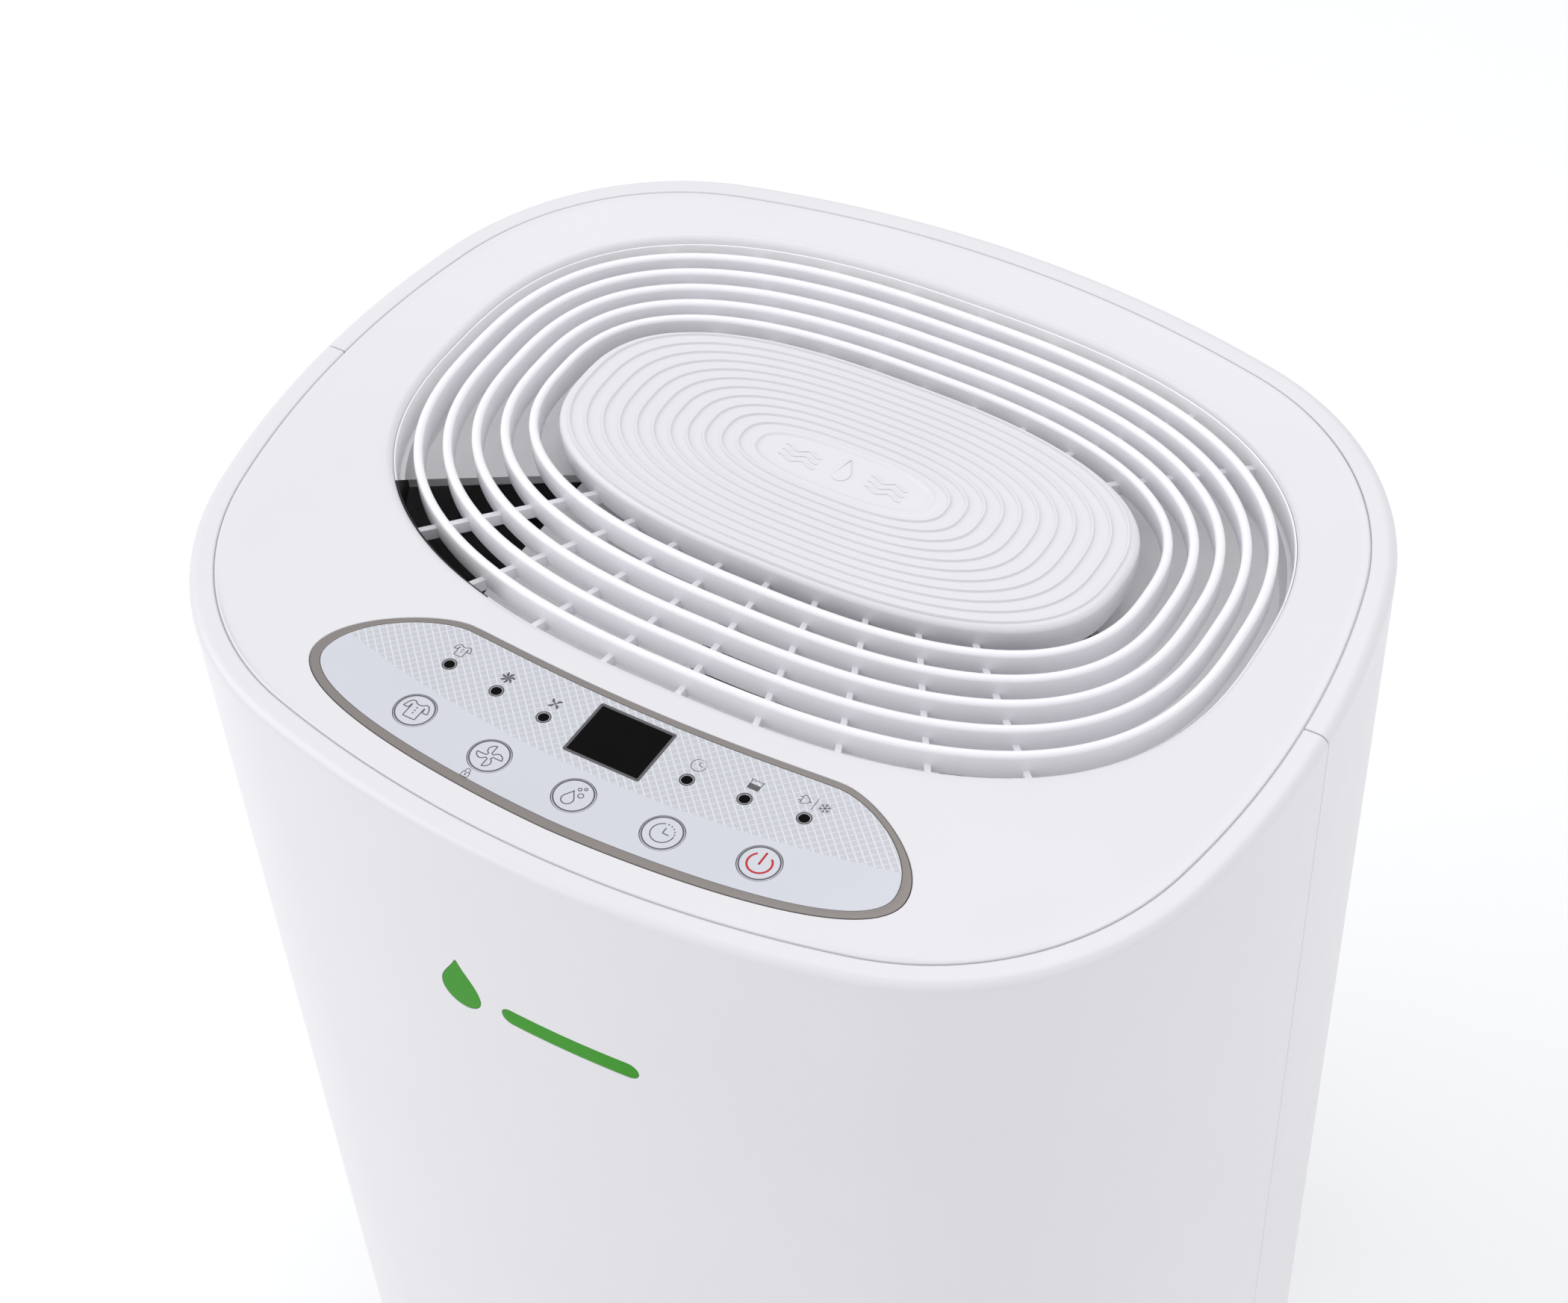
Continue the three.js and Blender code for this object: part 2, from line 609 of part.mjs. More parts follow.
function blowerHousing() {
  const outer = uprightPrism(scrollShape(0, scroll.top), scroll.front, scroll.back);
  const inner = uprightPrism(
    scrollShape(scroll.wall, scroll.top + 10),
    scroll.front + scroll.wall, scroll.back - scroll.wall,
  );
  const inletHole = axleRod(scroll.inletRadius, 0, scroll.back + 5, 28);
  const shaftHole = axleRod(9, scroll.front - 5, 0, 20);
  return cut(outer, inner, inletHole, shaftHole);
}

function fanWheel() {
  const backPlate = axleRod(fan.radius - 1, fan.front, fan.front + 2, 28);
  const boss = axleRod(9, fan.front, fan.front + 24, 20);
  const hoop = cut(
    axleRod(fan.radius, fan.back - 3, fan.back, 28),
    axleRod(fan.radius - 10, fan.back - 6, fan.back + 3, 28),
  );
  const blades = Array.from({ length: fan.blades }, (_, index) =>
    new THREE.BoxGeometry(11, fan.back - fan.front - 1, 1.6)
      .rotateY(0.5)
      .translate(fan.radius - 6.5, (fan.front + fan.back) / 2, 0)
      .rotateY((2 * Math.PI * index) / fan.blades));
  const bore = axleRod(fan.shaft + gap, fan.front - 5, fan.back, 16);
  return cut(join(backPlate, boss, hoop, ...blades), bore);
}

function fanNut() {
  return cut(axleRod(8, 0, 5, 6), axleRod(fan.shaft + gap, -1, 6, 16));
}

function fanMotor() {
  const can = axleRod(motor.radius, motor.front, motor.back, 32);
  const nose = axleRod(14, motor.back - 1, motor.back + 4, 20);
  const bore = axleRod(fan.shaft + 0.6, motor.back - 20, motor.back + 5, 16);
  return cut(join(can, nose), bore);
}

function motorBracket() {
  const band = cut(
    axleRod(motor.radius + 5, motor.back - 16, motor.back - 8, 32),
    axleRod(motor.radius + gap, motor.back - 20, motor.back, 32),
  );
  const legs = [90, 210, 330].map((angle) =>
    block([motor.radius + 2, motor.back - 16, -6], [motor.radius + 10, scroll.front - gap, 6])
      .rotateY((angle * Math.PI) / 180));
  return join(band, ...legs);
}

// The white funnel under the grille: an oval wall on a floor with two cut-outs.
function outletDuct() {
  const wall = ovalRing(opening.halfWidth - 1, opening.halfDepth - 1, opening.y, 3, duct.floor, duct.top);
  const floor = prism(oval(opening.halfWidth, opening.halfDepth, opening.y), duct.floor, duct.floor + 3);
  const throat = block(
    [duct.throatLeft, scroll.front - 2, 400],
    [duct.throatRight, scroll.back + 2, height],
  );
  const corner = new THREE.Shape([[-150, -30], [-77, 13], [-77, -90], [-150, -90]]
    .map(([x, y]) => new THREE.Vector2(x, y)));
  const cornerHole = common(
    prism(corner, 400, height),
    prism(oval(opening.halfWidth - 3, opening.halfDepth - 3, opening.y), 400, height),
  );
  return cut(join(wall, floor), throat, cornerHole);
}

// A slab that follows the casing's curve between two insets, limited to a box.
function curvedSlab(outerInset, innerInset, low, high) {
  const shape = casingPlan(outerInset);
  shape.holes.push(casingPlan(innerInset));
  return common(prism(shape, low[2], high[2]), block(low, high));
}

const intakeBox = (margin, topMargin = margin) => [
  [-intake.halfWidth + margin, 60, intake.low + margin],
  [intake.halfWidth - margin, depth, intake.high - topMargin],
];

function intakeGrille() {
  const slab = curvedSlab(0, intake.thickness, ...intakeBox(intake.margin, intake.topMargin));
  const pitch = (intake.high - intake.low - 18) / intake.rows;
  const columnEdges = [-92, -31, 31, 92];
  const slots = [];
  for (let row = 0; row < intake.rows; row += 1) {
    const low = intake.low + 11 + row * pitch;
    for (let column = 0; column < 3; column += 1) {
      slots.push(block(
        [columnEdges[column] + 2.5, 60, low],
        [columnEdges[column + 1] - 2.5, depth, low + intake.slot],
      ));
    }
  }
  return cut(slab, ...slots);
}

function filterFrame() {
  const margin = intake.margin + filter.inset;
  const slab = curvedSlab(intake.thickness + gap + 0.5, filter.back, ...intakeBox(margin));
  const [low, high] = intakeBox(margin + filter.border);
  const left = block(low, [-filter.bar, high[1], high[2]]);
  const right = block([filter.bar, low[1], low[2]], high);
  return cut(slab, left, right);
}

// The two panes of filter gauze are one sheet behind the frame's middle bar.
function filterMesh() {
  const [outer, thickness] = [filter.back + gap, 0.8];
  return curvedSlab(outer, outer + thickness, ...intakeBox(intake.margin + filter.inset + 3));
}

// ---- refrigeration ----
function compressorShell() {
  const { radius, height: tall } = compressor;
  const profile = [
    [0, 0], [radius * 0.6, 2], [radius * 0.9, 10], [radius, 24],
    [radius, tall - 26], [radius * 0.9, tall - 10], [radius * 0.6, tall - 2], [0, tall],
  ].map(([r, z]) => new THREE.Vector2(r, z));
  const can = new THREE.LatheGeometry(profile, 24).rotateX(Math.PI / 2);
  const legs = grommetPlaces.map(([x, y]) => {
    const angle = Math.atan2(y, x);
    return block([20, -14, 4], [grommetRing + 12, 14, 7]).rotateZ(angle);
  });
  const holes = grommetPlaces.map(([x, y]) => rod(4, 0, 12, 12).translate(x, y, 0));
  return cut(join(can, ...legs), ...holes);
}

function grommet() {
  const profile = [[0, 0], [10, 0], [10, 20], [8, 26.3], [3.6, 26.3], [3.6, 36], [0, 36]]
    .map(([r, z]) => new THREE.Vector2(r, z));
  return new THREE.LatheGeometry(profile, 10).rotateX(Math.PI / 2);
}

// A fin pack between two end plates, with the tube's return bends outside the plates.
function finnedCoil(front, back, bends) {
  const half = coil.halfWidth - 10;
  const middle = (front + back) / 2;
  const pack = block([-half, front + 1.5, coil.low], [half, back - 1.5, coil.high]);
  const plates = [-1, 1].map((side) => block(
    [side * half - 1, front, coil.low - 1.5],
    [side * half + 1, back, coil.high + 1.5],
  ));
  const pitch = (coil.high - coil.low) / (2 * bends);
  const grooves = Array.from({ length: 9 }, (_, index) => {
    const x = -half + (2 * half * (index + 1)) / 10;
    return block([x - 1.5, back - 4, coil.low - 1], [x + 1.5, back + 1, coil.high + 1]);
  });
  const rightBends = Array.from({ length: bends }, (_, index) =>
    returnBend(1, half, middle, coil.low + pitch * (2 * index + 1), pitch / 2));
  const leftBends = Array.from({ length: bends - 1 }, (_, index) =>
    returnBend(-1, half, middle, coil.low + pitch * (2 * index + 2), pitch / 2));
  return join(cut(pack, ...grooves), ...plates, ...rightBends, ...leftBends);
}

// Half a turn of tube that stands out from an end plate.
function returnBend(side, x, y, z, radius) {
  const route = [-90, -45, 0, 45, 90].map((angle) => {
    const turn = (angle * Math.PI) / 180;
    return [side * (x + radius * Math.cos(turn)), y, z + radius * Math.sin(turn)];
  });
  return tubeAlong(route, 3.5, 5, 6);
}

// ---- electrics ----
function boardBox() {
  const tray = block([0, 0, 0], [76, 28, 96]);
  const hollow = block([2.5, 2.5, 2.5], [73.5, 25.5, 93.5]);
  const cableSlot = block([20, 20, 90], [56, 24, 100]);
  return cut(tray, hollow, cableSlot);
}

function capacitor() {
  const can = rod(16, 0, 62, 24);
  const terminals = [-6, 6].map((x) => block([x - 1, -3, 61], [x + 1, 3, 70]));
  return join(can, ...terminals);
}

function humiditySensor() {
  const body = block([-9, -4, -13], [9, 4, 13]);
  const vents = [-6, 0, 6].map((z) => block([-6, -1, z - 1.2], [6, 6, z + 1.2]));
  return cut(body, ...vents);
}

function displayModule() {
  const low = display.low - panel.y + 1;
  const high = display.high - panel.y - 1;
  return block([-10, low, board.top + gap], [10, high, -panel.lens - gap]);
}

// ---- assembly ----
const dehumidifier = new THREE.Group();

function place(parent, name, geometry, material, x = 0, y = 0, z = 0) {
  const part = new THREE.Mesh(geometry, material);
  part.name = name;
  part.position.set(x, y, z);
  parent.add(part);
  return part;
}

place(dehumidifier, 'front_housing', frontHousing(), white());
place(dehumidifier, 'rear_housing', rearHousing(), white());
place(dehumidifier, 'badge_drop', inlay(dropShape(0)), badgeGreen());
place(dehumidifier, 'badge_bar', inlay(barShape(0)), badgeGreen());
place(dehumidifier, 'top_cover', topCover(), white());
place(dehumidifier, 'outlet_grille', outletGrille(), white());
place(dehumidifier, 'centre_disc', centreDisc(), white());
place(dehumidifier, 'outlet_duct', outletDuct(), greyPlastic());
place(dehumidifier, 'grip_cup', gripCup(), white());
place(dehumidifier, 'base_tray', baseTray(), greyPlastic());
[[-105, -70], [105, -70], [-105, 74], [105, 74]].forEach(([x, y], index) =>
  place(dehumidifier, `foot_${index + 1}`, foot(), rubber(), x, y));
screwPlaces.forEach(([x, z], index) =>
  place(dehumidifier, `rear_screw_${index + 1}`, rearScrew(), steel(), x, screwSeat(x), z));

const controlPanel = new THREE.Group();
controlPanel.position.set(0, panel.y, panel.top);
controlPanel.rotation.x = -Math.atan(panel.slope);
dehumidifier.add(controlPanel);
place(controlPanel, 'control_bezel', controlBezel(), bezelGrey());
place(controlPanel, 'control_lens', controlLens(), lensGrey());
keyNames.forEach((name, index) => {
  const [x, y] = keyPlaces[index];
  place(controlPanel, name, pushKey(), lensGrey(), x, y - panel.y);
});
place(controlPanel, 'light_guide_left', lightGuide(-1), darkGlass());
place(controlPanel, 'light_guide_right', lightGuide(1), darkGlass());
place(controlPanel, 'display_window', displayBlock(0, -panel.lens, 0), darkGlass());
place(controlPanel, 'display_module', displayModule(), blackPlastic());
place(controlPanel, 'control_board', controlBoard(), circuitGreen());

place(dehumidifier, 'intake_grille', intakeGrille(), white());
place(dehumidifier, 'filter_frame', filterFrame(), greyPlastic());
place(dehumidifier, 'filter_mesh', filterMesh(), meshGrey());
place(dehumidifier, 'evaporator', finnedCoil(evaporator.front, evaporator.back, 4), aluminium());
place(dehumidifier, 'condenser', finnedCoil(condenser.front, condenser.back, 4), aluminium());
place(dehumidifier, 'drip_tray', dripTray(), greyPlastic());

const blowerAxis = new THREE.Group();
blowerAxis.position.set(blower.x, 0, blower.z);
dehumidifier.add(blowerAxis);
place(blowerAxis, 'blower_housing', blowerHousing(), blackPlastic());
place(blowerAxis, 'fan_wheel', fanWheel(), blackPlastic());
place(blowerAxis, 'fan_shaft', axleRod(fan.shaft, motor.back - 16, fan.front + 34, 16), steel());
place(blowerAxis, 'fan_nut', fanNut(), steel(), 0, fan.front + 24 + gap);
place(blowerAxis, 'fan_motor', fanMotor(), steel());
place(blowerAxis, 'motor_bracket', motorBracket(), blackSteel());

const compressorMount = new THREE.Group();
compressorMount.position.set(compressor.x, compressor.y, 0);
dehumidifier.add(compressorMount);
place(compressorMount, 'compressor', compressorShell(), blackSteel(), 0, 0, compressor.z);
grommetPlaces.forEach(([x, y], index) =>
  place(compressorMount, `grommet_${index + 1}`, grommet(), rubber(), x, y, trayFloor + gap));
place(dehumidifier, 'suction_pipe', tubeAlong([
  [-112, 95, 262], [-128, 90, 250], [-130, 50, 236], [-126, -5, 226],
  [-96, -40, 218], [-68, -50, 212], [-62, -50, 190.5],
], 4, 18, 6), copper());
place(dehumidifier, 'discharge_pipe', tubeAlong([
  [-30, -70, 190.5], [-26, -72, 212], [20, -74, 224], [104, -44, 224],
  [133, 0, 240], [134, 40, 300], [120, 61, 352],
], 3.5, 22, 6), copper());
place(dehumidifier, 'capillary_tube', tubeAlong([
  [-114, 61, 300], [-124, 66, 290], [-128, 80, 300], [-120, 90, 330], [-114, 95, 340],
], 1.6, 16, 6), copper());

place(dehumidifier, 'tank_bay_liner', bayLiner(), greyPlastic());
place(dehumidifier, 'water_tank', waterTank(), smokedPlastic());
place(dehumidifier, 'tank_lid', tankLid(), greyPlastic());
const floatHinge = new THREE.Group();
floatHinge.position.set(floatPivot.x, floatPivot.y, floatPivot.z);
dehumidifier.add(floatHinge);
place(floatHinge, 'float_bracket', floatBracket(), greyPlastic());
place(floatHinge, 'tank_float', tankFloat(), white());
place(dehumidifier, 'tank_switch', tankSwitch(), blackPlastic(), 60, bay.front - gap, 160);
place(dehumidifier, 'drain_port', drainPort(), greyPlastic(), drain.x, 0, drain.z);
place(dehumidifier, 'drain_cap', drainCap(), rubber(), drain.x, 0, drain.z);
place(dehumidifier, 'inlet_bush', inletBush(), blackPlastic(), inlet.x, 0, inlet.z);

place(dehumidifier, 'main_board_box', boardBox(), blackPlastic(), 26, -112, 110);
place(dehumidifier, 'run_capacitor', capacitor(), aluminium(), 66, -40, 40);
place(dehumidifier, 'humidity_sensor', humiditySensor(), white(), -118, 88, 360);

export default dehumidifier;
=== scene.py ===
"""The looks of a free-standing dehumidifier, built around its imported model.

Shapes are worked out in millimetres, in the model's own frame, and become metres where a mesh
is made. The front with the control panel faces -Y, X runs across the width and Z is up.
"""
import math

import bmesh
import bpy
import numpy as np
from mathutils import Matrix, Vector


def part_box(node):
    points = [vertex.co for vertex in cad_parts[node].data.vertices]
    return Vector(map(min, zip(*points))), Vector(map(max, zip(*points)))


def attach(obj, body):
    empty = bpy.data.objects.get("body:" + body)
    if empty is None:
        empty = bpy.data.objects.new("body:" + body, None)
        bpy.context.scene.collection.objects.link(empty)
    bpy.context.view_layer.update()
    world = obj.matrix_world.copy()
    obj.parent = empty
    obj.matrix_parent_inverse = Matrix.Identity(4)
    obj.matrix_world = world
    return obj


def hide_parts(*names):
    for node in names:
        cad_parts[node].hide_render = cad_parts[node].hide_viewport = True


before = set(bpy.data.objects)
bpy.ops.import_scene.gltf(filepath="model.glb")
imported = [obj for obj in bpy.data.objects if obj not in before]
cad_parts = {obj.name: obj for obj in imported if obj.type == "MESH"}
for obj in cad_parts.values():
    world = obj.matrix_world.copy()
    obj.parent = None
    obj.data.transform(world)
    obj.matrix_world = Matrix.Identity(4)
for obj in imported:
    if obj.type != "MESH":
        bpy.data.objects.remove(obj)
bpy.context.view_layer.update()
scene = bpy.context.scene

# ---- driving sizes ----
MM = 0.001
CASE_LOW, CASE_HIGH = (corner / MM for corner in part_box("front_housing"))
HALF_WIDTH = CASE_HIGH.x
HALF_DEPTH = -CASE_LOW.y
TOP = CASE_HIGH.z
BOTTOM = CASE_LOW.z
FRONT_RADIUS, SIDE_RADIUS, CORNER_RADIUS = 356.0, 258.0, 90.0
WALL = 3.0
RIM_WIDTH, RIM_THICKNESS, RIM_ROUND = 7.2, 4.0, 3.2
SEAM_Y, SEAM_GAP, SEAM_ROUND = 2.0, 0.3, 0.35
COVER_GAP, GROOVE_DEPTH = 0.3, 0.8

OVAL_POWER = 2.6
OPENING = {"half_width": 130.5, "half_depth": 87.5, "y": 25.4}
OPENING_DROP, OPENING_ROUND = 3.3, 2.5
DUCT_LOW = TOP - 28
RING_COUNT, RING_THICKNESS, RING_DEPTH, RING_TOP = 5, 2.7, 9.0, TOP - 3.8
FIRST_RING = {"half_width": 95.6, "half_depth": 48.9, "y": 29.9}
LAST_RING = {"half_width": 124.3, "half_depth": 80.2, "y": 25.9}
DISC = {"half_width": 88.3, "half_depth": 41.9, "y": 29.8}
DISC_TOP = TOP - 2.6
MEDALLION = {"half_width": 27.9, "half_depth": 8.3, "y": 29.8}
SPOKES_PER_SIDE, SPOKE_INNER_PITCH, SPOKE_OUTER_PITCH, SPOKE_WIDTH = 9, 15.4, 24.7, 1.8

PANEL_Y, PANEL_TOP, PANEL_SLOPE = -95.0, TOP - 1.3, 0.05
KEY_NAMES = ["laundry_key", "fan_key", "humidity_key", "timer_key", "power_key"]
KEY_RADIUS = 5.9
LAMP_RADIUS = 1.5
LAMPS = [(-55.2, 10.5), (-38.6, 8.55), (-22.3, 6.8), (22.3, 6.8), (38.6, 8.55), (55.2, 10.5)]
DISPLAY = {"half_width": 11.0, "low": 0.6, "high": 18.1}
BADGE_X, BADGE_Z, BADGE_DEPTH = -26.0, TOP - 66, 0.8

DOOR_HALF, DOOR_LOW, DOOR_HIGH = 104, 226, 400
GRIP_HALF, GRIP_LOW, GRIP_HIGH, GRIP_CORNER = 58, 412, 444, 10.0
BAY_HALF, BAY_LOW, BAY_HIGH, BAY_CORNER = 115, 12.4, 200, 6.5
TANK_HALF, TANK_FRONT = 113.0, 38.0
CORD_X, CORD_Z = 96, 214
DRAIN_X, DRAIN_Z = -96, 213
SCREW_X, SCREW_Z, SCREW_SINK = 112, 458, 1.2


# ---- outlines ----
def corner_circle():
    """The centre of the casing's corner arc, and the facing angles where it meets its neighbours."""
    front_y, side_x = HALF_DEPTH - FRONT_RADIUS, HALF_WIDTH - SIDE_RADIUS
    to_front, to_side = FRONT_RADIUS - CORNER_RADIUS, SIDE_RADIUS - CORNER_RADIUS
    span = math.hypot(side_x, front_y)
    along = (to_front ** 2 - to_side ** 2 + span ** 2) / (2 * span)
    across = math.sqrt(to_front ** 2 - along ** 2)
    unit_x, unit_y = side_x / span, -front_y / span
    x = along * unit_x + across * unit_y
    y = front_y + along * unit_y - across * unit_x
    return x, y, math.atan2(y, x - side_x), math.atan2(y - front_y, x)


CORNER_X, CORNER_Y, SIDE_TURN, FRONT_TURN = corner_circle()


def facing_angles():
    """Facing angles all the way round, closer together where the casing turns its corners."""
    quarter = np.concatenate([
        np.linspace(0, SIDE_TURN, 9, endpoint=False),
        np.linspace(SIDE_TURN, FRONT_TURN, 26, endpoint=False),
        np.linspace(FRONT_TURN, math.pi / 2, 15, endpoint=False),
    ])
    half = np.concatenate([quarter, [math.pi / 2], math.pi - quarter[:0:-1]])
    return np.concatenate([half, half + math.pi])


ANGLES = facing_angles()


def plan(inset=0.0, angles=ANGLES):
    """The casing's outline seen from above, moved inwards, where it faces the given angles."""
    cosine, sine = np.cos(angles), np.sin(angles)
    turn = np.arctan2(np.abs(sine), np.abs(cosine))
    on_side, on_front = turn < SIDE_TURN, turn >= FRONT_TURN
    centre_x = np.where(on_side, HALF_WIDTH - SIDE_RADIUS, np.where(on_front, 0, CORNER_X))
    centre_y = np.where(on_side, 0, np.where(on_front, HALF_DEPTH - FRONT_RADIUS, CORNER_Y))
    radius = np.where(on_side, SIDE_RADIUS, np.where(on_front, FRONT_RADIUS, CORNER_RADIUS)) - inset
    x = np.sign(cosine) * centre_x + radius * cosine
    y = np.sign(sine) * centre_y + radius * sine
    return np.column_stack([x, y])


def wall_y(x, inset=0.0):
    """How far back the casing's rear wall is at x."""
    x = np.abs(np.asarray(x, float))
    on_back = (FRONT_RADIUS - inset) ** 2 - x ** 2
    back = HALF_DEPTH - FRONT_RADIUS + np.sqrt(on_back)
    on_corner = np.maximum((CORNER_RADIUS - inset) ** 2 - (x - CORNER_X) ** 2, 0)
    corner = CORNER_Y + np.sqrt(on_corner)
    return np.where(x > (FRONT_RADIUS - inset) * math.cos(FRONT_TURN), corner, back)


def oval(size, offset=0.0, power=OVAL_POWER, angles=ANGLES):
    """A rounded oval, moved outwards by offset, where it faces the given angles."""
    cosine, sine = np.cos(angles), np.sin(angles)
    width, depth = size["half_width"], size["half_depth"]
    share_y = (np.abs(sine) * depth) ** (1 / (power - 1))
    share_x = (np.abs(cosine) * width) ** (1 / (power - 1))
    total = (share_x ** power + share_y ** power) ** (1 / power)
    x = np.sign(cosine) * width * share_x / total + offset * cosine
    y = size["y"] + np.sign(sine) * depth * share_y / total + offset * sine
    return np.column_stack([x, y])


def circle(radius, count=48):
    turn = np.arange(count) * 2 * math.pi / count
    return np.column_stack([radius * np.cos(turn), radius * np.sin(turn)])


def rounded_rectangle(x_low, x_high, y_low, y_high, corner, count=6):
    """A rectangle with round corners, as points in order."""
    points = []
    centres = [(x_high, y_high, 0), (x_low, y_high, 1), (x_low, y_low, 2), (x_high, y_low, 3)]
    for x, y, quarter in centres:
        inner_x = x - math.copysign(corner, x - (x_low + x_high) / 2)
        inner_y = y - math.copysign(corner, y - (y_low + y_high) / 2)
        for turn in np.linspace(0, math.pi / 2, count) + quarter * math.pi / 2:
            points.append((inner_x + corner * math.cos(turn), inner_y + corner * math.sin(turn)))
    return np.array(points)


def bezier(start, first, second, end, count):
    share = np.linspace(0, 1, count, endpoint=False)[:, None]
    start, first, second, end = (np.array(point, float) for point in (start, first, second, end))
    return ((1 - share) ** 3 * start + 3 * (1 - share) ** 2 * share * first
            + 3 * (1 - share) * share ** 2 * second + share ** 3 * end)


def moved_out(outline, distance):
    """A closed outline, in order round to the left, moved outwards along its own normals."""
    along = np.roll(outline, -1, axis=0) - np.roll(outline, 1, axis=0)
    along /= np.linalg.norm(along, axis=1)[:, None]
    return outline + distance * np.column_stack([along[:, 1], -along[:, 0]])


def panel_outline(side=0.0, bottom=0.0, top=0.0):
    """The smile-shaped outline of the control panel in its own plane, moved inwards."""
    nose = (90.98 - side, -1.0)
    hump = (58.2, 25.53 - top)
    floor, dip = -25.2 + bottom, 22.9 - top
    right = [
        bezier((0, floor), (12.5, floor), (nose[0], -22.7 + bottom), nose, 40),
        bezier(nose, (nose[0], 12.2), (68.35, hump[1]), hump, 24),
        bezier(hump, (52.7, hump[1]), (29.2, dip), (0, dip), 24),
    ]
    right = np.concatenate(right)
    left = right[1:][::-1] * [-1, 1]
    return np.concatenate([right, [(0, dip)], left])


# ---- solids: each is (points, faces) in millimetres ----
def lift(outline, z):
    return np.column_stack([outline, np.broadcast_to(z, len(outline))])


def upright(outline, y):
    """An outline in X and Z, placed at y."""
    return np.column_stack([outline[:, 0], np.broadcast_to(y, len(outline)), outline[:, 1]])


def loft(loops, ring=False):
    """Skins a row of loops with the same number of points. A ring closes on its first loop."""
    count, rows = len(loops[0]), len(loops)
    index = np.arange(count)
    after = np.roll(index, -1)
    faces = []
    for row in range(rows if ring else rows - 1):
        this, following = row * count, ((row + 1) % rows) * count
        faces += np.column_stack([
            this + index, this + after, following + after, following + index]).tolist()
    if not ring:
        faces += [index[::-1].tolist(), (index + (rows - 1) * count).tolist()]
    return np.concatenate(loops), faces


def stacked(outline, steps, ring=False):
    """A solid of loops at (distance, height) pairs; outline(d) is moved outwards by d."""
    return loft([lift(outline(out), height) for out, height in steps], ring)


def quarter_round(radius, count):
    """Pairs of distances round a quarter turn, from (radius, 0) to (0, radius)."""
    turns = np.linspace(0, math.pi / 2, count)
    return [(radius * (1 - math.sin(turn)), radius * (1 - math.cos(turn))) for turn in turns]


def slab(outline, low, high, low_round=0.0, high_round=0.0, steps=4):
    """A solid on an outline with rounded edges; outline(d) is the outline moved outwards by d."""
    below = quarter_round(low_round, steps + 1) if low_round else [(0, 0)]
    above = quarter_round(high_round, steps + 1) if high_round else [(0, 0)]
    steps_up = [(-inset, low + rise) for inset, rise in below]
    return stacked(outline, steps_up + [(-inset, high - drop) for drop, inset in above])


def box(low, high, corner=0.6, edge=0.4):
    """A box with rounded upright edges, and rounded rims."""
    def outline(out):
        return rounded_rectangle(
            low[0] - out, high[0] + out, low[1] - out, high[1] + out, max(corner + out, 0.05))
    return slab(outline, low[2], high[2], edge, edge, 3)


def lathe(profile, count=48):
    """A solid turned about Z from (radius, height) pairs, from one end to the other."""
    return stacked(lambda radius: circle(radius, count), profile)


def rod(radius, low, high, count=40):
    """A plain round rod along Z."""
    return lathe([(radius, low), (radius, high)], count)


def moved(solid, x=0.0, y=0.0, z=0.0):
    points, faces = solid
    return points + np.array([x, y, z]), faces


def laid_back(solid):
    """Turns a solid about X so that its Z axis points along +Y."""
    points, faces = solid
    return np.column_stack([points[:, 0], points[:, 2], -points[:, 1]]), faces


def on_panel(solid):
    """Moves a solid from the control panel's own plane to its place on the cover."""
    points, faces = solid
    tilt = math.atan(PANEL_SLOPE)
    y = PANEL_Y + points[:, 1] * math.cos(tilt) + points[:, 2] * math.sin(tilt)
    z = PANEL_TOP - points[:, 1] * math.sin(tilt) + points[:, 2] * math.cos(tilt)
    return np.column_stack([points[:, 0], y, z]), faces


def tube(line, radius, sides=20):
    """A round rod along a line of points, with flat ends."""
    line = np.array(line, float)
    along = np.gradient(line, axis=0)
    along /= np.linalg.norm(along, axis=1)[:, None]
    across = np.cross(along[0], [0.3, 0.5, 0.81])
    loops = []
    for centre, way in zip(line, along):
        across = across - way * np.dot(across, way)
        across /= np.linalg.norm(across)
        other = np.cross(way, across)
        ring = circle(radius, sides)
        loops.append(centre + ring[:, :1] * across + ring[:, 1:] * other)
    return loft(loops)


# ---- making pieces ----
def join(solids):
    points, faces, count = [], [], 0
    for solid_points, solid_faces in solids:
        points.append(solid_points)
        faces += [[index + count for index in face] for face in solid_faces]
        count += len(solid_points)
    return np.concatenate(points), faces


def mesh_of(name, solid):
    points, faces = solid
    mesh = bpy.data.meshes.new(name)
    mesh.from_pydata((points * MM).tolist(), [], faces)
    shape = bmesh.new()
    shape.from_mesh(mesh)
    bmesh.ops.recalc_face_normals(shape, faces=shape.faces)
    shape.to_mesh(mesh)
    shape.free()
    return mesh


def settle(piece):
    """Replaces a piece's mesh by what its modifiers make of it."""
    bpy.context.view_layer.update()
    shown = piece.evaluated_get(bpy.context.evaluated_depsgraph_get())
    made = bpy.data.meshes.new_from_object(shown)
    piece.modifiers.clear()
    piece.data = made


def new_object(name, solid):
    made = bpy.data.objects.new(name, mesh_of(name, solid))
    scene.collection.objects.link(made)
    return made


def taken_back(scratch):
    """The solid that a scratch object has become; the object itself is removed."""
    points = np.array([vertex.co for vertex in scratch.data.vertices]) / MM
    faces = [list(face.vertices) for face in scratch.data.polygons]
    bpy.data.objects.remove(scratch)
    return points, faces


def carve(piece, cutters, operation="DIFFERENCE"):
    """Cuts solids out of a piece, one after the other, so that they may overlap."""
    for cutter in cutters:
        tool = new_object("cutter", cutter)
        cut = piece.modifiers.new("cut", "BOOLEAN")
        cut.operation, cut.solver, cut.object = operation, "EXACT", tool
        settle(piece)
        bpy.data.objects.remove(tool)


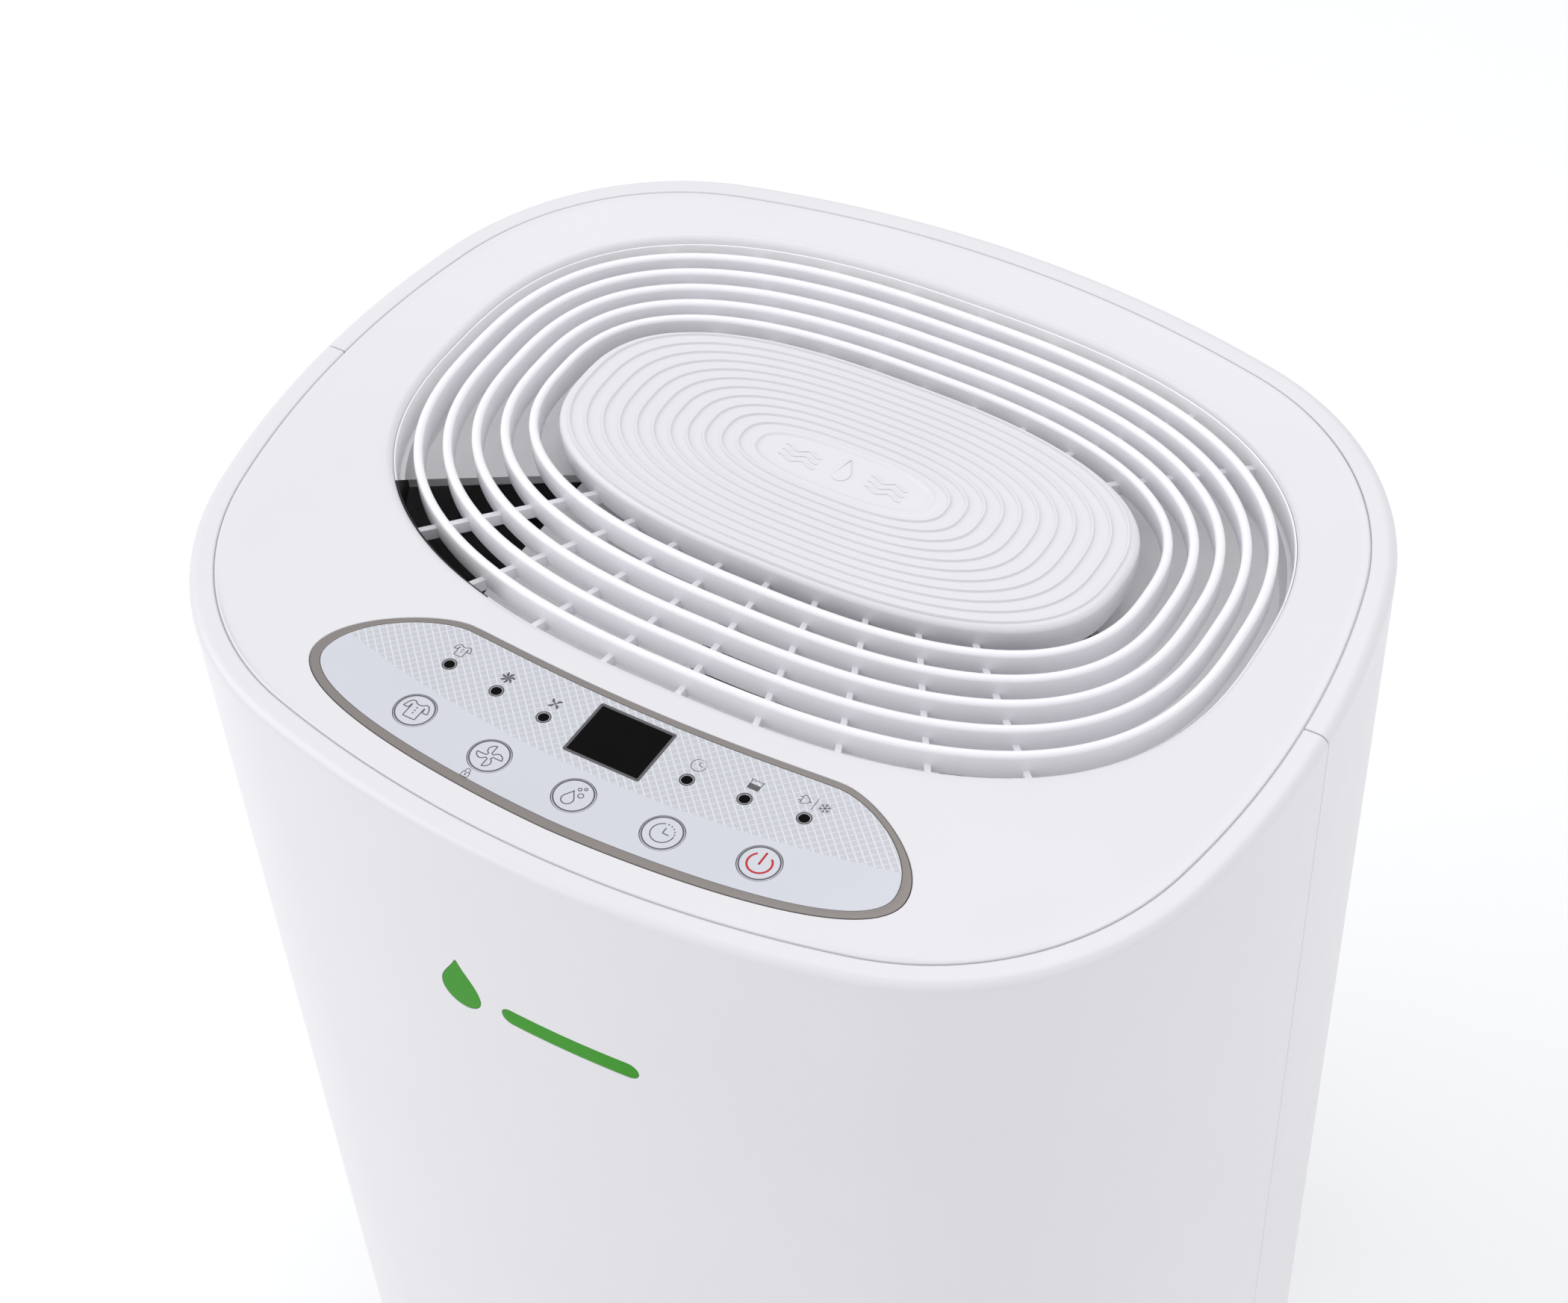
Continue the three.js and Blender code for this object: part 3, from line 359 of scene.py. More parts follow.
def round_edges(piece, width, segments=2, angle=40):
    bevel = piece.modifiers.new("round", "BEVEL")
    bevel.width, bevel.segments = width * MM, segments
    bevel.limit_method, bevel.angle_limit = "ANGLE", math.radians(angle)
    settle(piece)


def hang(piece, finish, replaces, body, crease):
    """Gives a piece its surface and shading, and puts it on its body in place of the model's nodes."""
    material, slot = finish
    piece.data.materials.clear()
    piece.data.materials.append(material)
    piece.data.shade_smooth()
    piece.data.set_sharp_from_angle(angle=math.radians(crease))
    even = piece.modifiers.new("even", "WEIGHTED_NORMAL")
    even.keep_sharp = True
    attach(piece, body)
    if replaces:
        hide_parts(*replaces)


def add_piece(name, solids, finish, replaces=(), body="cabinet", cut=(), crease=32):
    """Makes a piece of closed solids, cuts it and hangs it on its body."""
    piece = new_object(name, join(solids))
    carve(piece, cut)
    hang(piece, finish, replaces, body, crease)


# ---- materials: a finish is a material paired with the name of one of the model's material slots ----
def new_material(name):
    material = bpy.data.materials.new(name)
    material.use_nodes = True
    return material, material.node_tree, material.node_tree.nodes["Principled BSDF"]


def add_node(tree, kind, sockets=(), **settings):
    """A new node with its settings, and the values of its sockets as (name, value) pairs."""
    node = tree.nodes.new(kind)
    for name, value in settings.items():
        setattr(node, name, value)
    for name, value in sockets:
        node.inputs[name].default_value = value
    return node


def noise(tree, scale, detail=3.0):
    place = add_node(tree, "ShaderNodeTexCoord")
    made = add_node(tree, "ShaderNodeTexNoise", [("Scale", scale), ("Detail", detail)])
    tree.links.new(place.outputs["Object"], made.inputs["Vector"])
    return made.outputs["Fac"]


def spread(tree, value, low, high):
    """Maps a noise value to a range."""
    ends = [("From Min", 0.3), ("From Max", 0.7), ("To Min", low), ("To Max", high)]
    made = add_node(tree, "ShaderNodeMapRange", ends)
    tree.links.new(value, made.inputs["Value"])
    return made.outputs["Result"]


def blend_colours(tree, share, first, second):
    made = add_node(tree, "ShaderNodeMix", data_type="RGBA")
    for socket, value in ((made.inputs["A"], first), (made.inputs["B"], second)):
        if isinstance(value, tuple):
            socket.default_value = (*value, 1)
        else:
            tree.links.new(value, socket)
    tree.links.new(share, made.inputs["Factor"])
    return made.outputs["Result"]


def add_bump(tree, shader, height, strength):
    bump = add_node(tree, "ShaderNodeBump", [("Strength", strength), ("Distance", 0.1 * MM)])
    tree.links.new(height, bump.inputs["Height"])
    tree.links.new(bump.outputs["Normal"], shader.inputs["Normal"])


def surface(name, slot, colour, roughness, vary=0.04, shade=0.97, grain=1800, bump=0.08, metallic=0.0):
    """A moulded, painted or metal surface: slight clouding, uneven gloss and a fine grain."""
    material, tree, shader = new_material(name)
    cloud = noise(tree, 18, 4)
    darker = tuple(part * shade for part in colour)
    clouded = blend_colours(tree, spread(tree, cloud, 0, 1), darker, colour)
    tree.links.new(clouded, shader.inputs["Base Color"])
    gloss = spread(tree, noise(tree, 90, 5), roughness - vary, roughness + vary)
    tree.links.new(gloss, shader.inputs["Roughness"])
    add_bump(tree, shader, noise(tree, grain, 2), bump)
    shader.inputs["Metallic"].default_value = metallic
    return material, slot


def grey(level):
    """The linear value of a display grey from 0 to 255."""
    return (level / 255) ** 2.2


def rgb(red, green, blue):
    return grey(red), grey(green), grey(blue)


moulded = {"vary": 0.02, "shade": 0.985, "bump": 0.012}
white_plastic = surface("white_plastic", "body_white", rgb(220, 219, 223), 0.3, **moulded)
# Painted light: the grille is the body's white plastic made lighter, standing in for the bright ring tops
# and the light bounced between the rings.
bright_grille_painted_light = surface("bright_grille_painted_light", "body_white", rgb(239, 238, 242), 0.35, **moulded)
# Painted light: the duct, grey plastic in the model, is painted near white so that the depths between the
# rings read as lit.
bright_duct_painted_light = surface("bright_duct_painted_light", "grey_plastic", rgb(250, 250, 251), 0.4, **moulded)
grey_plastic = surface("grey_plastic", "grey_plastic", rgb(176, 177, 182), 0.5, bump=0.05)
dark_plastic = surface("dark_plastic", "black_plastic", rgb(30, 30, 32), 0.5, bump=0.05)
bezel_paint = surface("bezel_paint", "bezel_grey", rgb(133, 127, 123), 0.32,
                      grain=1500, bump=0.01, metallic=0.25)
print_grey = surface("print_grey", "bezel_grey", rgb(84, 82, 86), 0.45, bump=0.004)
print_red = surface("print_red", "bezel_grey", rgb(180, 18, 28), 0.4, bump=0.004)
badge_green = surface("badge_green", "badge_green", rgb(50, 142, 14), 0.42, shade=0.95, bump=0.006)
dark_glass = surface("dark_glass", "dark_glass", rgb(9, 8, 9), 0.1, vary=0.03, bump=0.002)
for (muted, _), level in ((dark_glass, 0.08), (badge_green, 0.15)):
    muted.node_tree.nodes["Principled BSDF"].inputs["Specular IOR Level"].default_value = level
rubber = surface("rubber", "foot_rubber", rgb(38, 38, 39), 0.8, grain=900, bump=0.3)
steel = surface("zinc_steel", "zinc_steel", rgb(190, 191, 193), 0.35, metallic=0.95, bump=0.1)
black_steel = surface("black_steel", "black_steel", rgb(24, 25, 27), 0.4,
                      grain=700, bump=0.3, metallic=0.2)
aluminium = surface("aluminium", "coil_aluminium", rgb(205, 207, 210), 0.38, metallic=0.95, bump=0.1)
copper = surface("copper", "pipe_copper", rgb(196, 120, 82), 0.33, metallic=1.0, bump=0.1, shade=0.8)
circuit_board = surface("circuit_board", "circuit_board", rgb(30, 104, 58), 0.45,
                        grain=400, bump=0.2, shade=0.7)
gauze_grey = surface("gauze_grey", "filter_gauze", rgb(86, 89, 93), 0.6, bump=0.1)
tank_plastic = surface("tank_plastic", "tank_plastic", rgb(176, 181, 187), 0.42,
                       vary=0.0, shade=0.995, bump=0.003)


def lens_print():
    """The panel's printed film: a plain lower field, and a darker upper one with a cross hatch."""
    material, tree, shader = new_material("panel_print")
    place = add_node(tree, "ShaderNodeTexCoord")
    parts = add_node(tree, "ShaderNodeSeparateXYZ")
    tree.links.new(place.outputs["Object"], parts.inputs["Vector"])

    def compute(operation, first, second=None, third=None):
        made = add_node(tree, "ShaderNodeMath", operation=operation)
        for socket, value in zip(made.inputs, (first, second, third)):
            if value is None:
                continue
            if isinstance(value, (int, float)):
                socket.default_value = value
            else:
                tree.links.new(value, socket)
        return made.outputs["Value"]

    x, y = parts.outputs["X"], parts.outputs["Y"]
    field_radius, field_low = 0.346, -0.0989
    from_centre = compute("SQRT", compute("ADD", compute("POWER", x, 2),
                          compute("POWER", compute("SUBTRACT", y, field_low + field_radius), 2)))
    upper = compute("LESS_THAN", from_centre, field_radius)
    pitch, line = 0.00195, 0.19
    rising = compute("MULTIPLY", compute("ADD", x, y), 1 / (pitch * math.sqrt(2)))
    falling = compute("MULTIPLY", compute("SUBTRACT", x, y), 1 / (pitch * math.sqrt(2)))
    solid_line = compute("LESS_THAN", compute("FRACT", rising), line)
    dashed = compute("LESS_THAN", compute("FRACT", falling), line * 0.85)
    dash_share, dash_length = 0.68, 4
    dash = compute("LESS_THAN", compute("FRACT", compute("MULTIPLY", rising, dash_length)), dash_share)
    hatch = compute("MAXIMUM", solid_line, compute("MULTIPLY", dashed, dash))
    cloud = spread(tree, noise(tree, 25), 0, 1)
    field = blend_colours(tree, cloud, rgb(188, 189, 195), rgb(192, 193, 199))
    hatched = blend_colours(tree, hatch, field, rgb(213, 215, 220))
    lower = blend_colours(tree, cloud, rgb(199, 201, 209), rgb(202, 204, 212))
    tree.links.new(blend_colours(tree, upper, lower, hatched), shader.inputs["Base Color"])
    tree.links.new(spread(tree, noise(tree, 60), 0.16, 0.24), shader.inputs["Roughness"])
    add_bump(tree, shader, noise(tree, 1500, 2), 0.004)
    return material, "panel_lens"


panel_print = lens_print()


# ---- casing ----
def arc(centre, radius, start, end, steps=5):
    """Points of an arc from one angle to another, in degrees."""
    turns = np.radians(np.linspace(start, end, steps + 1))
    return [(centre[0] + radius * math.cos(turn), centre[1] + radius * math.sin(turn)) for turn in turns]


def case_profile():
    """The casing wall's cross-section as (distance in from the outside, height)."""
    foot_round, lip_round = 2.0, 0.7
    return np.array([
        *arc((foot_round, BOTTOM + foot_round), foot_round, 270, 180),
        *arc((RIM_ROUND, TOP - RIM_ROUND), RIM_ROUND, 180, 90, 8),
        *arc((RIM_WIDTH - lip_round, TOP - lip_round), lip_round, 90, 0, 4),
        (RIM_WIDTH, TOP - RIM_THICKNESS),
        (WALL, TOP - RIM_THICKNESS),
        (WALL, BOTTOM),
    ])


def half_casing(side):
    """The front (-1) or rear (+1) half of the casing, its edges at the seam slightly rounded."""
    profile = case_profile()
    seam = SEAM_Y + side * SEAM_GAP / 2

    ends = []
    for away, shrink in quarter_round(SEAM_ROUND, 4)[::-1]:
        shrunk = moved_out(profile, shrink)
        ends.append((shrunk, np.arcsin((seam + side * away) / (SIDE_RADIUS - shrunk[:, 0]))))
    clear = SEAM_Y / SIDE_RADIUS + 0.01
    inner = [angle for angle in ANGLES if clear < angle < math.pi - clear]
    sections = []
    for shape, angles in ends:
        sections.append(np.column_stack([plan(shape[:, 0], angles), shape[:, 1]]))
    for angle in inner:
        angles = np.full(len(profile), side * angle)
        sections.append(np.column_stack([plan(profile[:, 0], angles), profile[:, 1]]))
    for shape, angles in ends[::-1]:
        sections.append(np.column_stack([plan(shape[:, 0], math.pi - angles), shape[:, 1]]))
    return loft(sections)


def wall_window(outline, rounding=1.2, deepest=60.0):
    """A cutter through the rear wall; outline(d) is its XZ outline moved outwards by d."""
    def surface_at(out, inset):
        shape = outline(out)
        return upright(shape, wall_y(shape[:, 0], inset))

    wide = rounding + 1.0
    loops = [upright(outline(wide), HALF_DEPTH + 10), surface_at(wide, -1.0)]
    loops += [surface_at(out, inset - 0.01) for out, inset in quarter_round(rounding, 5)]
    return loft([*loops, upright(outline(0.0), deepest)])


def rectangle_outline(x_low, x_high, z_low, z_high, corner):
    return lambda out: rounded_rectangle(
        x_low - out, x_high + out, z_low - out, z_high + out, corner + out)


def disc_outline(x, z, radius):
    return lambda out: circle(radius + out, 40) + np.array([x, z])


def plate_on_wall(outline, outer, inner, side=1, rounding=0.5):
    """A plate that follows the casing's wall between two insets, on an XZ outline."""
    left, right = outline[:, 0].min(), outline[:, 0].max()
    turns = np.linspace(0, math.pi, max(int((right - left) / 2.5), 32))
    following = np.roll(outline, -1, axis=0)
    loops = []
    for x in (left + right) / 2 - ((right - left) / 2 - 0.01) * np.cos(turns):
        crossing = (outline[:, 0] - x) * (following[:, 0] - x) <= 0
        start, end = outline[crossing], following[crossing]
        span = np.where(end[:, 0] == start[:, 0], 1, end[:, 0] - start[:, 0])
        heights = start[:, 1] + (x - start[:, 0]) / span * (end[:, 1] - start[:, 1])
        low, high = heights.min(), heights.max()
        from_end = rounding - min(x - left, right - x, rounding)
        face = outer + rounding - math.sqrt(max(rounding ** 2 - from_end ** 2, 0))
        room = min(rounding, (high - low) / 2.2)
        edge = [(face + inset, rise) for inset, rise in quarter_round(room, 4)]
        section = [(inset, low + rise) for inset, rise in edge]
        section += [(inset, high - rise) for inset, rise in edge[::-1]]
        section += [(inner, high), (inner, low)]
        section = np.array(section)
        y = side * wall_y(np.full(len(section), x), section[:, 0])
        loops.append(np.column_stack([np.full(len(section), x), y, section[:, 1]]))
    return loft(loops)


def drop_outline(margin=0.0):
    """A water drop standing on its round end."""
    x, z = BADGE_X, BADGE_Z
    round_z = z - 3.2
    width, tip = 6.6 + margin, 11.5 + margin * 1.6
    left = bezier((x, z + tip), (x - 1.5, z + tip - 5), (x - width, z + 2), (x - width, round_z), 14)
    lower = [(x + width * math.cos(turn), round_z + width * math.sin(turn))
             for turn in np.linspace(math.pi, 2 * math.pi, 24, endpoint=False)]
    right = bezier((x + width, round_z), (x + width, z + 2), (x + 1.5, z + tip - 5), (x, z + tip), 14)
    return np.concatenate([left, lower, right])


def bar_outline(margin=0.0):
    half, middle = 3.2 + margin, BADGE_Z - 3
    return rounded_rectangle(-12 - margin, 31 + margin, middle - half, middle + half, half - 0.01, 10)


def screw_seat(x):
    return float(wall_y(x)) - SCREW_SINK


def add_casing():
    pockets = [plate_on_wall(shape(0.12), -1.0, BADGE_DEPTH, -1, 0.05)
               for shape in (drop_outline, bar_outline)]
    add_piece("front_shell", [half_casing(-1)], white_plastic, ["front_housing"], cut=pockets)
    windows = [
        wall_window(rectangle_outline(-DOOR_HALF, DOOR_HALF, DOOR_LOW, DOOR_HIGH, 9)),
        wall_window(rectangle_outline(-BAY_HALF, BAY_HALF, BAY_LOW, BAY_HIGH, BAY_CORNER), 0.8),
        wall_window(rectangle_outline(-GRIP_HALF, GRIP_HALF, GRIP_LOW, GRIP_HIGH, GRIP_CORNER), 2.0),
        wall_window(disc_outline(CORD_X, CORD_Z, 9.3), 0.6),
        wall_window(disc_outline(DRAIN_X, DRAIN_Z, 11.3), 0.3),
        *[moved(laid_back(rod(4.4, 0, 30)), x, screw_seat(x), SCREW_Z) for x in (-SCREW_X, SCREW_X)],
    ]
    add_piece("rear_shell", [half_casing(1)], white_plastic, ["rear_housing"], cut=windows)
    for name, shape in (("drop", drop_outline), ("bar", bar_outline)):
        inlay = plate_on_wall(shape(), 0.0, 0.7, -1, 0.25)
        add_piece(name + "_inlay", [inlay], badge_green, ["badge_" + name])


# ---- top cover ----
def cover_height(x, y, share):
    """The cover's top: it slopes from the rim to the opening, and lies flat under the panel."""
    start, softness = 0.1, 0.04
    flat_half_width, flat_half_depth = 98, 31
    ramp = share - start
    ramp = 0.5 * (ramp + np.sqrt(ramp ** 2 + softness ** 2)) / (1 - start)
    sloped = -OPENING_DROP * np.minimum(ramp * 0.98, 1)
    plane = PANEL_TOP - TOP - PANEL_SLOPE * (y - PANEL_Y)
    plane = 0.5 * (plane - np.sqrt(plane ** 2 + 0.15 ** 2))
    across, along = np.abs(x) / flat_half_width, np.abs(y - PANEL_Y) / flat_half_depth
    distance = (across ** 3 + along ** 3) ** (1 / 3)
    inside = np.clip((1.4 - distance) / 0.4, 0, 1) * np.clip((1 - share) / 0.12, 0, 1)
    inside = inside * inside * (3 - 2 * inside)
    return TOP + sloped + (plane - sloped) * inside


def top_cover_solid():
    flange, edge_round = WALL + 0.6, 0.5
    outer, underside = RIM_WIDTH + COVER_GAP, TOP - 7
    flange_top = underside + 2.7
    skirt_low, skirt_thickness = TOP - 15, 1.8
    loops = [
        lift(plan(flange), underside),
        lift(plan(flange), flange_top),
        lift(plan(RIM_WIDTH + 0.05), flange_top),
        lift(plan(RIM_WIDTH + 0.05), TOP - GROOVE_DEPTH),
        lift(plan(outer), TOP - GROOVE_DEPTH),
    ]
    loops += [lift(plan(outer + inset), TOP - drop) for drop, inset in quarter_round(edge_round, 4)]
    start, end = plan(outer + edge_round), oval(OPENING, OPENING_ROUND)
    for share in [0.01, 0.03, *np.linspace(0.06, 0.94, 34), 0.97, 0.99]:
        place = start + share * (end - start)
        loops.append(lift(place, cover_height(place[:, 0], place[:, 1], share)))
    brink = TOP - OPENING_DROP
    for out, drop in quarter_round(OPENING_ROUND, 7):
        loops.append(lift(oval(OPENING, out), brink - drop))
    loops += [
        lift(oval(OPENING), skirt_low),
        lift(oval(OPENING, skirt_thickness), skirt_low),
        lift(oval(OPENING, skirt_thickness), underside),
    ]
    return loft(loops, ring=True)


def add_cover():
    def pocket_outline(out):
        return moved_out(panel_outline(), 0.15 + out)

    pocket = stacked(pocket_outline, [(0.0, -1.5), (0.0, -0.35), (0.12, -0.1), (0.5, 0.3), (0.5, 3.0)])
    flange_room, stem_room = rod(7.6, -3.1, -1), rod(3.5, -9, -2, 32)
    lamp_room = rod(LAMP_RADIUS + 0.4, -9, -1, 24)
    cutters = [pocket]
    for name in KEY_NAMES:
        cutters += [moved(room, *key_place(name)) for room in (flange_room, stem_room)]
    cutters += [moved(lamp_room, x, y) for x, y in LAMPS]
    add_piece("cover_moulding", [top_cover_solid()], white_plastic, ["top_cover"],
              cut=[on_panel(cutter) for cutter in cutters])


# ---- air outlet ----
def oval_ring(size, sections):
    """A ring on an oval from a closed cross-section of (offset, height)."""
    return stacked(lambda out: oval(size, out), sections, ring=True)


def ring_section(thickness, low, high):
    half = thickness / 2
    return [(half - 0.3, low), (half, low + 0.3), *arc((0, high - half), half, 0, 180, 10),
            (-half, low + 0.3), (0.3 - half, low)]


def between(first, second, share):
    return {name: first[name] + share * (second[name] - first[name]) for name in first}


def front_of(size, x, side):
    """The point of an oval's front (-1) or back (+1) at x."""
    outline = oval({**size, "y": 0.0})
    half = outline[outline[:, 1] >= 0]
    half = half[np.argsort(half[:, 0])]
    return np.array([x, size["y"] + side * np.interp(x, half[:, 0], half[:, 1])])


def bar_between(start, end, width, low, high):
    along = end - start
    length, turn = np.linalg.norm(along), math.atan2(along[1], along[0])
    points, faces = box((0, -width / 2, low), (length, width / 2, high), 0.1, 0.15)
    x = start[0] + points[:, 0] * math.cos(turn) - points[:, 1] * math.sin(turn)
    y = start[1] + points[:, 0] * math.sin(turn) + points[:, 1] * math.cos(turn)
    return np.column_stack([x, y, points[:, 2]]), faces


def add_outlet():
    spoke_high, spoke_depth, overlap = RING_TOP - 5.9, 4, 4
    solids = []
    for index in range(RING_COUNT):
        size = between(FIRST_RING, LAST_RING, index / (RING_COUNT - 1))
        solids.append(oval_ring(size, ring_section(RING_THICKNESS, RING_TOP - RING_DEPTH, RING_TOP)))
    rims = ((OPENING, 2.1, 5.5, TOP - 13.5, TOP - 7.4), (DISC, -6.5, -1.5, TOP - 14.5, TOP - 12.2))
    for size, near, far, low, high in rims:
        solids.append(oval_ring(size, [(near, low), (far, low), (far, high), (near, high)]))
    middle = SPOKES_PER_SIDE // 2
    for step in range(-middle, middle + 1):
        for side in (-1, 1):
            start = front_of(DISC, step * SPOKE_INNER_PITCH, side)
            end = front_of(OPENING, step * SPOKE_OUTER_PITCH, side)
            reach = overlap * (end - start) / np.linalg.norm(end - start)
            start, end = start - reach, end + reach
            solids.append(bar_between(start, end, SPOKE_WIDTH, spoke_high - spoke_depth, spoke_high))
    add_piece("grille_moulding", solids, bright_grille_painted_light, ["outlet_grille"], crease=40)


def disc_solid():
    """The ribbed centre disc with a blank oval medallion."""
    edge, rib_pitch, rib_height, rib_half, rib_foot = 2.2, 5.2, 0.65, 0.22, 0.5
    floor = 0.45
    rib = ((rib_foot, 0), (rib_half, rib_height), (-rib_half, rib_height), (-rib_foot, 0))
    border = ((1.1, 0), (0.7, 0.25), (0.2, 0.3), (-0.2, 0.1), (-0.7, -floor))
    loops = [lift(oval(DISC, -0.6), TOP - 12), lift(oval(DISC, -0.2), TOP - 11.7)]
    loops += [lift(oval(DISC, -inset), DISC_TOP - drop) for drop, inset in quarter_round(edge, 8)]
    width = DISC["half_width"] - MEDALLION["half_width"]
    for index in range(int(width / rib_pitch), 0, -1):
        size = between(MEDALLION, DISC, index * rib_pitch / width)
        loops += [lift(oval(size, offset), DISC_TOP + rise) for offset, rise in rib]
    loops += [lift(oval(MEDALLION, offset), DISC_TOP + rise) for offset, rise in border]
    for share in (0.8, 0.5, 0.2):
        small = {name: MEDALLION[name] * share for name in ("half_width", "half_depth")}
        loops.append(lift(oval({**small, "y": MEDALLION["y"]}), DISC_TOP - floor))
    return loft(loops)


def add_disc():
    y, floor = MEDALLION["y"], DISC_TOP - 0.5
    drop = (drop_outline() - [BADGE_X, BADGE_Z]) * 0.42 + [0, y + 0.6]
    emblem = stacked(lambda out: moved_out(drop, out),
                     [(0.0, floor - 0.1), (0.0, floor + 0.3), (-0.25, floor + 0.45)])
    waves = []
    for offset in (-14, 14):
        for row in (-2.2, 0, 2.2):
            line = [(offset + x, y + row + 0.7 * math.sin(x * 0.9)) for x in np.linspace(-6, 6, 40)]
            waves.append(stroke(line, 0.5, floor, floor + 0.35))
    add_piece("disc_moulding", [disc_solid(), emblem, *waves], white_plastic, ["centre_disc"], crease=40)


def duct_solid():
    """The funnel's wall and floor under the grille."""
    low, high = DUCT_LOW, TOP - 15.3
    wall = [(0.0, low), (0.0, high), (-2.0, high), (-2.4, low + 7), (-3.6, low + 4.2), (-6.5, low + 3)]
    loops = [lift(oval(OPENING, offset), height) for offset, height in wall]
    middle = {"half_width": 60, "half_depth": 30, "y": OPENING["y"]}
    return loft([*loops, lift(oval(middle), low + 3)])


def add_duct():
    """The duct and the opening in its corner, cut along the line of sight of the camera; a bright collar
    of painted light lines the opening, and a dark lining of painted shade makes the corner black.
    """
    below, floor_top = 400, TOP - 25
    throat = box((-12, -38, below), (86, 28, TOP), 3, 0)
    corner = np.array([(-180, -47.7), (-180, -120), (-77, -120), (-77, 13)])
    leaning = corner + (TOP - floor_top) * np.array([0.739, -0.768])
    hole = loft([lift(corner, below), lift(corner, floor_top), lift(leaning, TOP)])
    add_piece("duct_moulding", [duct_solid()], bright_duct_painted_light, ["outlet_duct"], cut=[throat, hole])

    def sleeve(low):
        near, far, high = -0.08, -0.6, TOP - 5.6
        ridge = (-0.35, high + 0.25)
        return oval_ring(OPENING, [(near, low), (near, high), ridge, (far, high), (far, low)])

    # Painted light: a bright sleeve over the opening's wall, which is in shade.
    collar_painted_light = (bright_duct_painted_light[0], "body_white")
    add_piece("painted_light_collar", [sleeve(TOP - 15)], collar_painted_light, cut=[hole])
    # Painted shade: a dark sheet lining the corner hole, where there is only deep shade.
    shade_sheet = new_object("shade_sheet", sleeve(DUCT_LOW))
    carve(shade_sheet, [hole], "INTERSECT")
    add_piece("corner_painted_shade", [taken_back(shade_sheet)], dark_plastic)


# ---- control panel, in the panel's own plane ----
def key_place(name):
    low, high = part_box(name)
    middle = (low + high) / 2 / MM
    return middle.x, (middle.y - PANEL_Y) / math.cos(math.atan(PANEL_SLOPE)) - 0.17


def stroke(line, width, low, high, closed=False):
    """A flat printed line of even width along points, as a thin solid."""
    line = np.array(line, float)
    if closed:
        along = np.roll(line, -1, axis=0) - np.roll(line, 1, axis=0)
    else:
        along = np.gradient(line, axis=0)
    along /= np.linalg.norm(along, axis=1)[:, None]
    across = np.column_stack([along[:, 1], -along[:, 0]]) * width / 2
    if closed:
        return loft([lift(line + across, low), lift(line + across, high),
                     lift(line - across, high), lift(line - across, low)], ring=True)
    sections = [np.array([(*right, low), (*right, high), (*left, high), (*left, low)])
                for right, left in zip(line + across, line - across)]
    return loft(sections)


INK_LOW, INK_HIGH = -0.03, 0.03


def ink(line, width, closed=False):
    """A printed line of even width, a little above and below the surface it lies on."""
    return stroke(line, width, INK_LOW, INK_HIGH, closed)


def polyline(points, closed=False):
    """The same corners with extra points close to each, so that a stroke keeps its width."""
    points = [np.array(point, float) for point in points]
    pairs = list(zip(points, points[1:] + (points[:1] if closed else [])))
    made = [] if closed else [points[0]]
    for index, (start, end) in enumerate(pairs):
        length = np.linalg.norm(end - start)
        near = min(0.12, length / 4) / length
        if closed or index:
            made.append(start + (end - start) * near)
        if closed or index < len(pairs) - 1:
            made.append(end - (end - start) * near)
    if not closed:
        made.append(points[-1])
    return np.array(made)


def filled(points):
    points = np.array(points, float)
    return loft([lift(points, INK_LOW), lift(points, INK_HIGH)])


def dot(x, y, radius):
    return filled(circle(radius, 20) + [x, y])


def round_line(radius, start, end, x=0.0, y=0.0, count=48):
    turns = np.radians(np.linspace(start, end, count))
    return np.column_stack([x + radius * np.cos(turns), y + radius * np.sin(turns)])


def ring_line(radius, x=0.0, y=0.0, count=48):
    return circle(radius, count) + [x, y]


def turned(points, degrees):
    cosine, sine = math.cos(math.radians(degrees)), math.sin(math.radians(degrees))
    points = np.array(points, float)
    return np.column_stack([points[:, 0] * cosine - points[:, 1] * sine,
                            points[:, 0] * sine + points[:, 1] * cosine])


def shirt_icon(size=1.0, width=0.3):
    right = [(0, 2.1), (0.95, 2.35), (1.75, 3.05), (2.6, 2.85), (3.3, 1.9), (3.85, 0.15),
             (2.2, 0.15), (2.08, 1.7), (1.9, 1.5), (1.9, -2.95)]
    outline = right + [(-x, y) for x, y in right[:0:-1]]
    solids = [ink(polyline(np.array(outline[::-1]) * size, True), width, True)]
    return solids + [dot(0, y * size, 0.24 * size) for y in (1.0, 0, -1.0)]


def fan_icon():
    blade = [(0, 1.0), (0, 3.9), (-1.15, 3.35), (-1.75, 2.3), (-1.5, 1.25), (-0.8, 0.8)]
    outline = np.concatenate([turned(blade, 90 * index) for index in range(4)])
    return [ink(polyline(outline, True), 0.3, True)]


def pinwheel_icon(blades, radius):
    blade = np.array([(0.05, 0.12), (0.1, 1.0), (-0.12, 0.92), (-0.3, 0.62), (-0.2, 0.3)]) * radius
    solids = [filled(turned(blade, 360 / blades * (index + 0.5))) for index in range(blades)]
    return solids + [dot(0, 0, 0.16 * radius)]


def drop_icon():
    round_part = round_line(1.7, 155, 385, -0.75, -1.75, 40)
    sides = bezier(round_part[-1], (0.45, -0.3), (-0.6, 0.9), (-0.75, 1.55), 10)
    back = bezier((-0.75, 1.55), (-0.9, 0.9), (-1.95, -0.3), round_part[0], 10)
    outline = np.concatenate([round_part[:-1], sides, back])
    bubbles = [(0.35, 2.55, 0.48), (1.7, 3.35, 0.42), (1.7, 0.8, 0.75)]
    return [ink(outline, 0.3, True), *[ink(ring_line(r, x, y), 0.26, True) for x, y, r in bubbles]]


